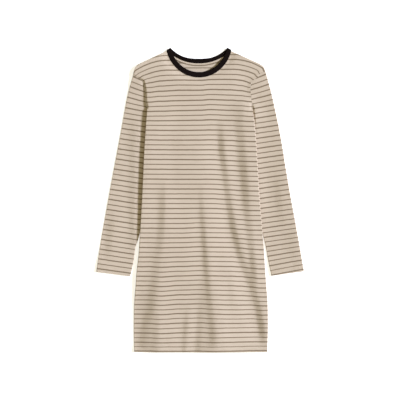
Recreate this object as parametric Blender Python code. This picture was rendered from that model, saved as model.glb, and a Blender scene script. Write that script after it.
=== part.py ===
"""Long-sleeved nightshirt in striped jersey, laid out flat on its back.

The shirt lies in the XY plane with its neck toward +Y, its front up and its back panel on z = 0.
The origin is the middle of its outline, on the surface that it lies on.
Every length below is in millimetres, and the meshes are scaled to metres as they are made.
"""
import math
from collections import namedtuple

import bmesh
import bpy
import numpy as np

MM = 0.001

# Cloth
WALL = 1.2              # jersey wall, one layer
SEAM_GAP = 0.3          # between two pieces that are sewn together
BAND_WALL = 2.4         # rib of the neckband, folded double

# Outline of the body
HEM_Y = -445.0
SPLIT_Y = 215.0         # straight rows below this height, blended ones above it
NECK_MIDDLE_X = -2.8

SideRow = namedtuple("SideRow", "y left right")
BODY_SIDES = (
    SideRow(272.5, -156.8, 152.4),
    SideRow(210.0, -160.0, 160.0),
    SideRow(147.0, -164.0, 165.0),
    SideRow(20.0, -170.0, 172.5),
    SideRow(-97.0, -177.0, 182.0),
    SideRow(-158.0, -182.0, 187.5),
    SideRow(-205.0, -187.5, 190.5),
    SideRow(-253.0, -191.0, 194.0),
    SideRow(-300.0, -193.5, 197.5),
    SideRow(-371.0, -194.5, 198.5),
    SideRow(HEM_Y, -194.5, 196.5),
)

Point = namedtuple("Point", "x y")
# Seam of each sleeve, from the shoulder down to where the body's side covers it
ARMHOLE = {
    "left": (Point(-198.0, 369.0), Point(-191.0, 362.0), Point(-177.5, 356.0), Point(-168.5, 349.5),
             Point(-165.0, 335.0), Point(-162.5, 318.0), Point(-161.0, 293.0), Point(-156.8, 272.5)),
    "right": (Point(190.5, 378.0), Point(175.0, 371.0), Point(166.0, 361.0), Point(155.5, 352.5),
              Point(147.5, 342.0), Point(146.5, 331.0), Point(147.4, 316.5), Point(152.4, 272.5)),
}
# Outline from the end of the armhole seam over the point of the shoulder to the straight shoulder
SHOULDER_TURN = {
    "left": (Point(-198.0, 369.0), Point(-194.5, 379.0), Point(-191.5, 387.0), Point(-184.0, 397.0)),
    "right": (Point(190.5, 378.0), Point(187.5, 384.0), Point(182.5, 390.5), Point(174.0, 398.5)),
}

# Neck: half widths, depths and powers of the curves of the band's two edges, front and back
NECK_SEAM_Y = 436.6
NECK_FREE_Y = 444.0
NECK_SEAM_HALF = 95.7
NECK_FREE_HALF = 83.0
FRONT_SEAM_DEPTH = 75.6
FRONT_FREE_DEPTH = 69.6
BACK_SEAM_DEPTH = 34.6
BACK_FREE_DEPTH = 32.6
FRONT_POWERS = (2.1, 1.0 / 1.5)
BACK_SEAM_POWERS = (2.2, 1.0)
BACK_FREE_POWERS = (2.7, 1.0)

# Sleeves: outer edge, inner edge (its upper part lies hidden under the body) and cuff
SLEEVE_OUTER = {
    "left": (Point(-198.0, 369.0), Point(-212.0, 309.0), Point(-235.0, 192.0), Point(-261.5, 51.0),
             Point(-290.5, -113.0), Point(-304.3, -209.5)),
    "right": (Point(190.5, 378.0), Point(208.5, 309.0), Point(235.0, 192.0), Point(259.5, 51.0),
              Point(288.0, -113.0), Point(304.3, -207.5)),
}
SLEEVE_INNER = {
    "left": (Point(-129.0, 228.0), Point(-131.0, 147.0), Point(-154.0, 29.0), Point(-178.5, -97.0),
             Point(-190.5, -137.0), Point(-197.0, -184.0), Point(-206.0, -222.5)),
    "right": (Point(126.0, 228.0), Point(129.5, 147.0), Point(153.5, 29.0), Point(182.0, -97.0),
              Point(191.5, -137.0), Point(200.0, -184.0), Point(208.5, -221.5)),
}

# Heights of the layers
EDGE_WIDTH = 12.0       # how far in from an edge the upper layer rounds over
CHEST_RISE = 6.5        # rise of the upper layer over the lower one near the edges
MIDDLE_RISE = 9.0       # and in the middle of the body
MIDDLE_REACH = 70.0     # how far in from the edges it reaches that
SLEEVE_TOP = 8.6        # height of a sleeve's upper layer
TUCKED_TOP = 3.0        # and where the body lies on it
TUCK_MARGIN = 7.0       # strip beside the body's side where the sleeve stays as flat
TUCK_WIDTH = 13.0       # and the width over which it rises again
FOLD_MIDDLE = 1.5       # height of the middle of a fold edge
FOLD_UNDER = 1.5        # how far in the underside of a fold edge meets the surface
BACK_LIFT = 3.7         # rise of the back panel over a tucked sleeve
LIFT_MARGIN = 14.0      # how far past the sleeve it keeps that rise
LIFT_SLOPE = 14.0       # and how wide the slope back down is
LIFT_TOP = (282.0, 318.0)       # heights up the body where the lift fades out, above the armhole
LIFT_BOTTOM = (-106.0, -165.0)  # and below, where the sleeve comes out from under the body

Fold = namedtuple("Fold", "name rise reach start end path")
# Large soft folds of the front: rise is under zero in a valley, start and end are fading lengths
FRONT_FOLDS = (
    Fold("long_valley", -3.2, 17.0, 60, 8, (Point(56, 250), Point(67, 79), Point(88, -20), Point(108, -117),
                                            Point(146, -214), Point(175, -313), Point(187, -452))),
    Fold("long_ridge", 1.8, 17.0, 60, 30, (Point(84, 60), Point(108, -20), Point(127, -117),
                                           Point(168, -225))),
    Fold("side_valley", -2.2, 13.0, 50, 40, (Point(95, 268), Point(121, 138), Point(134, 6), Point(141, -94),
                                             Point(158, -190))),
    Fold("middle_valley", -2.8, 16.0, 60, 8, (Point(4, -12), Point(12, -141), Point(22, -264),
                                              Point(38, -452))),
    Fold("middle_ridge", 2.0, 20.0, 60, 8, (Point(40, -60), Point(52, -200), Point(62, -300),
                                            Point(76, -452))),
    Fold("left_valley", -2.4, 16.0, 60, 8, (Point(-115, -10), Point(-122, -141), Point(-137, -264),
                                            Point(-156, -352), Point(-180, -452))),
    Fold("left_ridge", 1.5, 18.0, 60, 8, (Point(-90, -60), Point(-98, -200), Point(-108, -300),
                                          Point(-122, -452))),
    Fold("hem_valley_a", -1.6, 11.0, 60, 4, (Point(-6, -300), Point(-6, -452))),
    Fold("hem_valley_b", -1.4, 11.0, 60, 4, (Point(-50, -325), Point(-50, -452))),
    Fold("chest_ridge", 1.0, 26.0, 60, 60, (Point(-60, 210), Point(-40, 60), Point(-34, -60))),
)
SLEEVE_FOLDS = {
    "left": (Fold("upper", -1.2, 12.0, 40, 60, (Point(-205, 176), Point(-212, 29), Point(-246, -100))),
             Fold("cuff", 0.9, 14.0, 50, 20, (Point(-246, 20), Point(-268, -110), Point(-275, -200)))),
    "right": (Fold("upper", -1.2, 12.0, 40, 60, (Point(205, 176), Point(240, 29), Point(244, -120))),
              Fold("cuff", 0.9, 14.0, 50, 20, (Point(262, 20), Point(272, -110), Point(280, -200)))),
}

# Neckband heights
BAND_FRONT_Z = (7.6, 5.0)       # middle of the rib: at the middle of the front, and at the neck points
BAND_BACK_SEAM_Z = (1.3, 1.8)   # the same for the back's sewn edge
BAND_BACK_FREE_Z = (5.5, 1.8)   # and for its free edge, which stands up a little
BAND_TURN_STATIONS = 3          # stations round each folded neck point
SectionPoint = namedtuple("SectionPoint", "share height")
# Section of the rib: share of the way from its sewn edge to its free one, and share of half its wall
BAND_SECTION = (SectionPoint(0.0, -0.8), SectionPoint(0.0, 0.8), SectionPoint(0.14, 1.0),
                SectionPoint(0.86, 1.0), SectionPoint(1.0, 0.5), SectionPoint(1.0, -0.5),
                SectionPoint(0.86, -1.0), SectionPoint(0.14, -1.0))

# Grids. Pieces that meet at a seam share its stations, so that their edges run side by side
NECK_STEPS = 18                 # steps of the front neckline, and twice those of the back one
NECK_END_PULL = 0.5             # how much closer together the steps are toward the neck points
ROWS_BELOW = 25                 # straight rows of both panels
ROWS_UNDER_ARM = (0.5,)         # between them and the end of the armhole seam
ARMHOLE_SHARES = (0.0, 0.015, 0.05, 0.11, 0.22, 0.40, 0.60, 0.80, 1.0)
FRONT_SHOULDER_SHARES = (0.0, 0.004, 0.014, 0.030, 0.052, 0.080, 0.113, 0.150, 0.190)
BACK_SHOULDER_SHARES = (0.0, 0.024, 0.048, 0.072, 0.096, 0.124, 0.155, 0.19)
SLEEVE_HIDDEN_SHARES = (0.38, 0.66, 0.86, 0.96, 1.0)
CUFF_SHARES = (0.0, 0.014, 0.045, 0.095, 0.18, 0.29, 0.41, 0.53, 0.65, 0.77, 0.87, 0.94, 0.984, 1.0)
SLEEVE_ROWS = (0.0, 0.02, 0.055, 0.10, 0.15, 0.20, 0.25, 0.30, 0.355, 0.41, 0.465, 0.52, 0.575, 0.63,
               0.685, 0.74, 0.795, 0.85, 0.90, 0.95, 1.0)

# Fineness of the lines that the grids are read from, and limits of the height fields' normals
SPLINE_STEPS = 8
STRAIGHT_STEPS = 12
SLOPE_STEP = 0.6
STEEPEST = 1.6
TUCK_REACH = 1.0        # how far past the tucked edge a point still counts as under the body

CLOTH_COLOUR = (0.60, 0.50, 0.40)
RIB_COLOUR = (0.012, 0.010, 0.011)
CLOTH_ROUGHNESS = 0.9
RIB_ROUGHNESS = 0.85
CREASE_ANGLE = math.radians(50)


def clear_scene():
    for ob in list(bpy.data.objects):
        bpy.data.objects.remove(ob, do_unlink=True)


def smooth(t):
    """Eased step from 0 to 1."""
    t = min(1.0, max(0.0, t))
    return t * t * (3.0 - 2.0 * t)


def spline(points):
    """Smooth line through the points, as an array of x, y rows."""
    p = np.array(points, dtype=float)
    p = np.vstack([2 * p[0] - p[1], p, 2 * p[-1] - p[-2]])
    rows = []
    for i in range(1, len(p) - 2):
        for k in range(SPLINE_STEPS):
            t = k / SPLINE_STEPS
            rows.append(0.5 * (2 * p[i] + (p[i + 1] - p[i - 1]) * t
                               + (2 * p[i - 1] - 5 * p[i] + 4 * p[i + 1] - p[i + 2]) * t ** 2
                               + (3 * p[i] - p[i - 1] - 3 * p[i + 1] + p[i + 2]) * t ** 3))
    rows.append(p[-2])
    return np.array(rows)


def lengths(line):
    """Length along a line at each of its points."""
    steps = np.hypot(*np.diff(line, axis=0).T)
    return np.concatenate([[0.0], np.cumsum(steps)])


def along(line, share):
    """Point at a share of a line's length."""
    run = lengths(line)
    return np.array([np.interp(share * run[-1], run, line[:, k]) for k in (0, 1)])


def nearest(line, x, y):
    """Distance from a point to a line, and the length along the line at its foot."""
    a, b = line[:-1], line[1:]
    d = b - a
    t = np.clip(((x - a[:, 0]) * d[:, 0] + (y - a[:, 1]) * d[:, 1]) / (d ** 2).sum(axis=1), 0.0, 1.0)
    gap = np.hypot(a[:, 0] + t * d[:, 0] - x, a[:, 1] + t * d[:, 1] - y)
    k = int(gap.argmin())
    return gap[k], lengths(line)[k] + t[k] * math.hypot(*d[k])


def pushed(line, distance):
    """The line moved sideways, to the left of its direction when distance is over zero."""
    d = np.gradient(line, axis=0)
    d /= np.hypot(d[:, 0], d[:, 1])[:, None]
    return line + distance * np.stack([-d[:, 1], d[:, 0]], axis=1)


def neck_curve(half, top, depth, powers, u):
    """Point of a neck curve at u, from -1 at the left neck point to 1 at the right one."""
    fall = max(0.0, 1.0 - abs(u) ** powers[0]) ** powers[1]
    return np.array([NECK_MIDDLE_X + half * u, top - depth * fall])


def neck_places(front):
    """Places of the neckline's stations, from -1 to 1, closer together toward the neck points."""
    steps = NECK_STEPS if front else NECK_STEPS // 2
    return [NECK_END_PULL * math.sin(t * math.pi / 2) + (1.0 - NECK_END_PULL) * t
            for t in np.linspace(-1.0, 1.0, steps + 1)]


def neck_line(front):
    """Neckline of a panel from left to right, set out from the band's sewn edge."""
    line = np.array([band_edges(front, u)[0][:2] for u in neck_places(front)])
    return pushed(line, -SEAM_GAP)


def side_x(side, y):
    """The body's side edge at a height up the body."""
    line = SIDE_LINES[side]
    return float(np.interp(y, line[::-1, 1], line[::-1, 0]))


def inner_x(side, y):
    """The tucked edge of a sleeve at a height, carried on upward past its top along the seam."""
    line = INNER_LINES[side]
    top = Point(*line[0])
    if y > top.y:
        armhole = ARMHOLE[side][-1]
        return top.x + (armhole.x - top.x) * (y - top.y) / (armhole.y - top.y)
    return float(np.interp(y, line[::-1, 1], line[::-1, 0]))


SIDE_LINES = {
    "left": spline([(r.left, r.y) for r in BODY_SIDES]),
    "right": spline([(r.right, r.y) for r in BODY_SIDES]),
}
INNER_LINES = {side: spline(SLEEVE_INNER[side]) for side in SLEEVE_INNER}
OUTER_LINES = {side: spline(SLEEVE_OUTER[side]) for side in SLEEVE_OUTER}
ARMHOLE_LINES = {side: spline(ARMHOLE[side]) for side in ARMHOLE}
NECK_POINTS = {side: neck_curve(NECK_SEAM_HALF, NECK_SEAM_Y, FRONT_SEAM_DEPTH, FRONT_POWERS, u)
               for side, u in (("left", -1.0), ("right", 1.0))}


def shoulder_line(side):
    """Outline from the end of the armhole seam to the neck point."""
    turn = spline(SHOULDER_TURN[side])
    straight = np.linspace(turn[-1], NECK_POINTS[side], STRAIGHT_STEPS)[1:]
    return np.vstack([turn, straight])


SHOULDER_LINES = {side: shoulder_line(side) for side in ARMHOLE}
# Whole upper edge on each side, from the neck point out and down the sleeve to the cuff
UPPER_EDGES = {side: np.vstack([SHOULDER_LINES[side][::-1], OUTER_LINES[side][1:]]) for side in ARMHOLE}


def rounded(distance, width):
    """Quarter-round profile: 0 at the edge, 1 from width inward."""
    t = 1.0 - min(1.0, max(0.0, distance / width))
    return math.sqrt(max(0.0, 1.0 - t * t))


def fold_height(folds, x, y):
    """Height that the folds add at a point of the panel."""
    height = 0.0
    for fold in folds:
        line = FOLD_LINES[fold]
        gap, run = nearest(line, x, y)
        total = lengths(line)[-1]
        fade = smooth(run / fold.start) * smooth((total - run) / fold.end)
        height += fold.rise * fade * math.exp(-(gap / fold.reach) ** 2)
    return height


FOLD_LINES = {fold: spline(fold.path)
              for fold in FRONT_FOLDS + SLEEVE_FOLDS["left"] + SLEEVE_FOLDS["right"]}


def side_of(x):
    return "left" if x < NECK_MIDDLE_X else "right"


def back_bottom(x, y):
    """Height of the back panel's underside: on the surface, or on a tucked sleeve."""
    side = side_of(x)
    inward = abs(x) - abs(inner_x(side, y))
    past = -inward - LIFT_MARGIN
    top = 1.0 - smooth((y - LIFT_TOP[0]) / (LIFT_TOP[1] - LIFT_TOP[0]))
    bottom = 1.0 - smooth((LIFT_BOTTOM[0] - y) / (LIFT_BOTTOM[0] - LIFT_BOTTOM[1]))
    return BACK_LIFT * top * bottom * (1.0 - smooth(past / LIFT_SLOPE))


def front_top(x, y):
    """Height of the front panel's outer face."""
    side = side_of(x)
    base = back_bottom(x, y) + WALL + SEAM_GAP
    side_gap = nearest(SIDE_LINES[side], x, y)[0]
    shoulder_gap = nearest(UPPER_EDGES[side], x, y)[0]
    armhole_gap = nearest(ARMHOLE_LINES[side], x, y)[0]
    inside = smooth(min(side_gap, shoulder_gap, armhole_gap) / MIDDLE_REACH)
    rise = CHEST_RISE + (MIDDLE_RISE - CHEST_RISE) * inside
    rise += fold_height(FRONT_FOLDS, x, y)
    return base + rise * rounded(side_gap, EDGE_WIDTH) * rounded(shoulder_gap, EDGE_WIDTH)


def beside_body(side, x, y):
    """Distance outward from the body's side edge, under zero where the body covers the point."""
    gap = nearest(SIDE_LINES[side], x, y)[0]
    if y < SIDE_LINES[side][0, 1] and abs(x) < abs(side_x(side, y)):
        return -gap
    if y >= SIDE_LINES[side][0, 1] and abs(x) < abs(inner_x(side, y)) + TUCK_REACH:
        return -gap
    return gap


def sleeve_top(side, x, y):
    """Height of a sleeve's upper outer face."""
    free = SLEEVE_TOP + fold_height(SLEEVE_FOLDS[side], x, y)
    out = smooth((beside_body(side, x, y) - TUCK_MARGIN) / TUCK_WIDTH)
    top = TUCKED_TOP + (free - TUCKED_TOP) * out
    width = FOLD_UNDER + (EDGE_WIDTH - FOLD_UNDER) * out
    edge = rounded(nearest(UPPER_EDGES[side], x, y)[0], EDGE_WIDTH)
    edge *= rounded(nearest(INNER_LINES[side], x, y)[0], width)
    return FOLD_MIDDLE + (top - FOLD_MIDDLE) * edge


def sleeve_bottom(side, x, y):
    """Height of a sleeve's lower outer face."""
    gap = min(nearest(UPPER_EDGES[side], x, y)[0], nearest(INNER_LINES[side], x, y)[0])
    return FOLD_MIDDLE * (1.0 - rounded(gap, FOLD_UNDER))


def mesh_object(garment, name, points, faces, colour, roughness):
    """Object from points in millimetres, with its faces turned outward and its own material."""
    bm = bmesh.new()
    verts = [bm.verts.new([c * MM for c in p]) for p in points]
    for face in faces:
        bm.faces.new([verts[k] for k in face])
    bmesh.ops.recalc_face_normals(bm, faces=bm.faces)
    mesh = bpy.data.meshes.new(name)
    bm.to_mesh(mesh)
    bm.free()
    mesh.shade_smooth()
    mesh.set_sharp_from_angle(angle=CREASE_ANGLE)
    material = bpy.data.materials.new(name + "_cloth")
    material.use_nodes = True
    shader = material.node_tree.nodes["Principled BSDF"]
    shader.inputs["Base Color"].default_value = (*colour, 1.0)
    shader.inputs["Roughness"].default_value = roughness
    shader.inputs["Metallic"].default_value = 0.0
    mesh.materials.append(material)
    ob = bpy.data.objects.new(name, mesh)
    ob.parent = garment
    bpy.context.scene.collection.objects.link(ob)
    return ob


def wall_object(garment, name, upper, lower):
    """Closed wall between two grids of points that have the same rows and columns."""
    rows, columns = len(upper), len(upper[0])
    points = [p for grid in (upper, lower) for row in grid for p in row]
    under = rows * columns

    def at(i, j):
        return i * columns + j

    faces = []
    for i in range(rows - 1):
        for j in range(columns - 1):
            quad = (at(i, j), at(i, j + 1), at(i + 1, j + 1), at(i + 1, j))
            faces.append(quad)
            faces.append(tuple(under + k for k in reversed(quad)))
    rim = [at(0, j) for j in range(columns)] + [at(i, columns - 1) for i in range(1, rows)]
    rim += [at(rows - 1, j) for j in range(columns - 2, -1, -1)] + [at(i, 0) for i in range(rows - 2, 0, -1)]
    for a, b in zip(rim, rim[1:] + rim[:1]):
        faces.append((b, a, under + a, under + b))
    return mesh_object(garment, name, points, faces, CLOTH_COLOUR, CLOTH_ROUGHNESS)


def tube_object(garment, name, outer, inner):
    """Open-ended tube wall between two stacks of closed rings."""
    rings, around = len(outer), len(outer[0])
    points = [p for stack in (outer, inner) for ring in stack for p in ring]
    under = rings * around
    faces = []
    for i in range(rings - 1):
        for j in range(around):
            k = (j + 1) % around
            quad = (i * around + j, i * around + k, (i + 1) * around + k, (i + 1) * around + j)
            faces.append(quad)
            faces.append(tuple(under + q for q in reversed(quad)))
    for i in (0, rings - 1):
        for j in range(around):
            k = (j + 1) % around
            faces.append((i * around + j, i * around + k, under + i * around + k, under + i * around + j))
    return mesh_object(garment, name, points, faces, CLOTH_COLOUR, CLOTH_ROUGHNESS)


def armhole_stations(side, out):
    """Stations of the visible armhole seam from the shoulder down, moved out of the body."""
    line = ARMHOLE_LINES[side]
    moved = pushed(line, out if side == "right" else -out)
    run = lengths(line)
    return [np.array([np.interp(share * run[-1], run, moved[:, k]) for k in (0, 1)])
            for share in ARMHOLE_SHARES]


def panel_plan(front):
    """Plan points of a body panel: rows from the hem to the shoulders, columns from left to right."""
    shoulder_shares = FRONT_SHOULDER_SHARES if front else BACK_SHOULDER_SHARES
    neck_share = shoulder_shares[-1]
    middle = [neck_share + (u + 1.0) / 2.0 * (1.0 - 2.0 * neck_share) for u in neck_places(front)]
    shares = list(shoulder_shares[:-1]) + middle + [1.0 - s for s in reversed(shoulder_shares[:-1])]
    top = [along(SHOULDER_LINES["left"], s / neck_share) for s in shoulder_shares[:-1]]
    top += list(neck_line(front))
    top += [along(SHOULDER_LINES["right"], s / neck_share) for s in reversed(shoulder_shares[:-1])]
    rows = []
    for y in np.linspace(HEM_Y, SPLIT_Y, ROWS_BELOW + 1):
        a, b = side_x("left", y), side_x("right", y)
        rows.append([np.array([a + (b - a) * s, y]) for s in shares])
    base = rows[-1]
    edges = {}
    for side in ("left", "right"):
        seam = armhole_stations(side, -SEAM_GAP / 2)[::-1]
        under = [SPLIT_Y + (seam[0][1] - SPLIT_Y) * v for v in ROWS_UNDER_ARM]
        edges[side] = [np.array([side_x(side, y), y]) for y in under] + seam
    top[0], top[-1] = edges["left"][-1], edges["right"][-1]
    run = lengths(np.vstack([[base[0]], edges["left"]]))
    for a, b, length in zip(edges["left"], edges["right"], run[1:]):
        v = length / run[-1]
        left_bend = a - ((1 - v) * base[0] + v * top[0])
        right_bend = b - ((1 - v) * base[-1] + v * top[-1])
        row = []
        for s, low, high in zip(shares, base, top):
            near_left = max(0.0, 1.0 - s / neck_share)
            near_right = max(0.0, 1.0 - (1.0 - s) / neck_share)
            row.append((1 - v) * low + v * high + near_left * left_bend + near_right * right_bend)
        rows.append(row)
    return rows


def surface_normal(height, x, y):
    """Unit normal of a height field, with steep slopes held back near the rounded edges."""
    gx = (height(x + SLOPE_STEP, y) - height(x - SLOPE_STEP, y)) / (2 * SLOPE_STEP)
    gy = (height(x, y + SLOPE_STEP) - height(x, y - SLOPE_STEP)) / (2 * SLOPE_STEP)
    slope = math.hypot(gx, gy)
    if slope > STEEPEST:
        gx, gy = gx * STEEPEST / slope, gy * STEEPEST / slope
    return np.array([-gx, -gy, 1.0]) / math.sqrt(1.0 + gx * gx + gy * gy)


def along_plan(a, b):
    """Unit step in plan from one point to another."""
    step = np.array([b[0] - a[0], b[1] - a[1], 0.0])
    return step / np.linalg.norm(step)


def inner_point(upper, i, j):
    """Inner face of the front behind an outer point: level behind a fold edge, else along the normal."""
    p, rows, columns = upper[i][j], len(upper), len(upper[i])
    neck_column = len(FRONT_SHOULDER_SHARES) - 1
    at_end = i == rows - 1
    if j in (0, columns - 1):
        inward = 1 if j == 0 else -1
        if at_end:
            return p + WALL * along_plan(p, upper[i - 1][j])
        if p[1] < BODY_SIDES[0].y:
            return p + np.array([inward * WALL, 0.0, 0.0])
        edge = along_plan(upper[i - 1][j], upper[i + 1][j])
    elif at_end and j in (neck_column, columns - 1 - neck_column):
        return p + WALL * along_plan(p, upper[i][j + (1 if j == neck_column else -1)])
    elif at_end and (j < neck_column or j > columns - 1 - neck_column):
        edge = along_plan(upper[i][j - 1], upper[i][j + 1])
        return p + WALL * np.array([edge[1], -edge[0], 0.0])
    elif at_end:
        edge = along_plan(upper[i][j - 1], upper[i][j + 1])
    elif i == 0:
        edge = np.array([1.0, 0.0, 0.0])
    else:
        return p - WALL * surface_normal(front_top, p[0], p[1])
    across = np.array([edge[1], -edge[0], 0.0])
    normal = surface_normal(front_top, p[0], p[1])
    normal -= across * np.dot(normal, across)
    return p - WALL * normal / np.linalg.norm(normal)


def make_front(garment):
    plan = panel_plan(True)
    upper = [[np.array([x, y, front_top(x, y)]) for x, y in row] for row in plan]
    lower = [[inner_point(upper, i, j) for j in range(len(row))] for i, row in enumerate(upper)]
    return wall_object(garment, "front", upper, lower)


def make_back(garment):
    plan = panel_plan(False)
    lower = [[np.array([x, y, back_bottom(x, y)]) for x, y in row] for row in plan]
    upper = [[p + np.array([0.0, 0.0, WALL]) for p in row] for row in lower]
    return wall_object(garment, "back", upper, lower)


def sleeve_plan(side):
    """Plan points of a sleeve: rows from the armhole to the cuff, columns from outer to inner edge."""
    outer, inner = OUTER_LINES[side], INNER_LINES[side]
    hidden = spline((ARMHOLE[side][-2], ARMHOLE[side][-1], Point(*inner[0])))[SPLINE_STEPS:]
    start = armhole_stations(side, SEAM_GAP / 2) + [along(hidden, s) for s in SLEEVE_HIDDEN_SHARES]
    start[0] = outer[0]
    end = [outer[-1] + (inner[-1] - outer[-1]) * s for s in CUFF_SHARES]
    rows = []
    for v in SLEEVE_ROWS:
        a, b = along(outer, v), along(inner, v)
        row = []
        for s, p, q in zip(CUFF_SHARES, start, end):
            corners = (1 - v) * ((1 - s) * start[0] + s * start[-1]) + v * ((1 - s) * end[0] + s * end[-1])
            row.append((1 - v) * p + v * q + (1 - s) * a + s * b - corners)
        rows.append(row)
    return rows


def inset_row(row):
    """The same row for the inner face, with its ends one wall in from the fold edges."""
    line = np.array(row)
    run = lengths(line)
    total = run[-1]
    moved = []
    for d in run:
        shift = max(0.0, 1.0 - d / EDGE_WIDTH) - max(0.0, 1.0 - (total - d) / EDGE_WIDTH)
        moved.append(along(line, (d + WALL * shift) / total))
    return moved


def make_sleeve(garment, side):
    plan = sleeve_plan(side)
    outer = [sleeve_ring(side, row, 0.0) for row in plan]
    inner = [sleeve_ring(side, inset_row(row), WALL) for row in plan]
    return tube_object(garment, "sleeve_" + side, outer, inner)


def sleeve_ring(side, row, wall):
    """One ring of a sleeve: over the top from the outer edge to the inner one, and back underneath."""
    top = [(x, y, sleeve_top(side, x, y) - wall) for x, y in row]
    bottom = [(x, y, sleeve_bottom(side, x, y) + wall) for x, y in row]
    for k in (0, -1):
        x, y, z = top[k]
        top[k] = (x, y, (z + bottom[k][2]) / 2)
    return top + bottom[-2:0:-1]


def band_edges(front, u):
    """Sewn edge and free edge of the neckband at u, in three dimensions."""
    if front:
        z = BAND_FRONT_Z[1] + (BAND_FRONT_Z[0] - BAND_FRONT_Z[1]) * (1 - abs(u) ** 4)
        seam = neck_curve(NECK_SEAM_HALF, NECK_SEAM_Y, FRONT_SEAM_DEPTH, FRONT_POWERS, u)
        free = neck_curve(NECK_FREE_HALF, NECK_FREE_Y, FRONT_FREE_DEPTH, FRONT_POWERS, u)
        return np.array([*seam, z]), np.array([*free, z])
    share = 1 - abs(u) ** 1.5
    seam_z = BAND_BACK_SEAM_Z[1] + (BAND_BACK_SEAM_Z[0] - BAND_BACK_SEAM_Z[1]) * share
    free_z = BAND_BACK_FREE_Z[1] + (BAND_BACK_FREE_Z[0] - BAND_BACK_FREE_Z[1]) * share
    seam = neck_curve(NECK_SEAM_HALF, NECK_SEAM_Y, BACK_SEAM_DEPTH, BACK_SEAM_POWERS, u)
    free = neck_curve(NECK_FREE_HALF, NECK_FREE_Y, BACK_FREE_DEPTH, BACK_FREE_POWERS, u)
    return np.array([*seam, seam_z]), np.array([*free, free_z])


def band_turn(u, from_front):
    """Stations round a folded neck point, between the front layer and the back one."""
    high, low = band_edges(True, u), band_edges(False, u)
    fold = high[1] - high[0]
    out = np.array([-fold[1], fold[0], 0.0]) * (-1 if u > 0 else 1)
    out /= np.linalg.norm(out)
    angles = [math.pi / 2 - math.pi * k / (BAND_TURN_STATIONS + 1) for k in range(1, BAND_TURN_STATIONS + 1)]
    if not from_front:
        angles.reverse()
    stations = []
    for angle in angles:
        edges = []
        for a, b in zip(high, low):
            radius = (a[2] - b[2]) / 2
            middle = (a + b) / 2
            edges.append(middle + radius * (math.cos(angle) * out + math.sin(angle) * np.array([0, 0, 1.0])))
        stations.append(tuple(edges))
    return stations


def make_band(garment):
    stations = [band_edges(True, u) for u in neck_places(True)] + band_turn(1.0, True)
    stations += [band_edges(False, u) for u in reversed(neck_places(False))] + band_turn(-1.0, False)
    count = len(stations)
    points = []
    for k, (seam, free) in enumerate(stations):
        before, after = stations[k - 1], stations[(k + 1) % count]
        tangent = (after[0] + after[1]) - (before[0] + before[1])
        normal = np.cross(tangent, free - seam)
        normal /= np.linalg.norm(normal)
        for share, height in BAND_SECTION:
            points.append(seam + share * (free - seam) + height * BAND_WALL / 2 * normal)
    around = len(BAND_SECTION)
    faces = []
    for k in range(count):
        for j in range(around):
            m = (j + 1) % around
            n = (k + 1) % count
            faces.append((k * around + j, n * around + j, n * around + m, k * around + m))
    return mesh_object(garment, "neckband", points, faces, RIB_COLOUR, RIB_ROUGHNESS)


def main():
    clear_scene()
    garment = bpy.data.objects.new("nightshirt", None)
    bpy.context.scene.collection.objects.link(garment)
    make_back(garment)
    for side in ("left", "right"):
        make_sleeve(garment, side)
    make_front(garment)
    make_band(garment)


main()
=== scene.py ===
"""Looks of the long-sleeved nightshirt in striped jersey, laid out flat on its back.

Every cloth piece is a fine thin shell on the form of its solid in the frame, with its creases,
hems and seams, and the neckband has its ribs. The plan, in millimetres, is the frame's own: the
neck toward +Y, the front up, the back panel on z = 0. Meshes are scaled to metres when made.
"""
import math
from collections import namedtuple

import bmesh
import bpy
import numpy as np
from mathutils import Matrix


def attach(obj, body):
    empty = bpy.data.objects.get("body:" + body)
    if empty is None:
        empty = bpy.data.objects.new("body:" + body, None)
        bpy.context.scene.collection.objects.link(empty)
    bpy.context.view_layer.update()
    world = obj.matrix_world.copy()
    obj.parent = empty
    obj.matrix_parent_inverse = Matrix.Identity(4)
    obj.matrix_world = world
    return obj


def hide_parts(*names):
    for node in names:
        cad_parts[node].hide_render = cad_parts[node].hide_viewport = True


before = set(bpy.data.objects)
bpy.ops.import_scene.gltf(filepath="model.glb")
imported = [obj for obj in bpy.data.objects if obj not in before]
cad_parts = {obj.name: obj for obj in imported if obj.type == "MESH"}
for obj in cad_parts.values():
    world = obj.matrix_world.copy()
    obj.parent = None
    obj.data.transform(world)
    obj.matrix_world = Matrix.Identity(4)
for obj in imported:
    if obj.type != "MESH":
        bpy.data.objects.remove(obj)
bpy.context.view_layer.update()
MM = 0.001

# Cloth
WALL = 1.2
SEAM_GAP = 0.3
BAND_WALL = 2.4

# Outline of the body, within a few millimetres of the solids
HEM_Y = -445
SPLIT_Y = 215
NECK_MIDDLE_X = -4.6
# The body's sides, as height, left and right
BODY_SIDES = (
    (272.5, -156.8, 152.4),
    (210, -161, 160),
    (147, -165.2, 165),
    (20, -171.2, 172.5),
    (-97, -178, 182),
    (-158, -182, 187.5),
    (-205, -187.5, 190.5),
    (-253, -191, 194),
    (-300, -194.6, 197.5),
    (-371, -196, 198.5),
    (HEM_Y, -194.5, 196.5),
)
Point = namedtuple("Point", "x y")
ARMHOLE = {
    "left": ((-198, 369), (-191, 362), (-177.5, 356), (-168.5, 349.5),
             (-165, 335), (-162.5, 318), (-161, 293), (-156.8, 272.5)),
    "right": ((191.5, 379), (175, 371.5), (166, 361), (155.5, 352.5),
              (147.5, 342), (146.5, 331), (147.4, 316.5), (152.4, 272.5)),
}
SHOULDER_TURN = {
    "left": ((-198, 369), (-196.2, 379), (-192.5, 389.5), (-184, 399)),
    "right": ((191.5, 379), (188.7, 387), (183.5, 394.8), (174.5, 401.4)),
}
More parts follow.
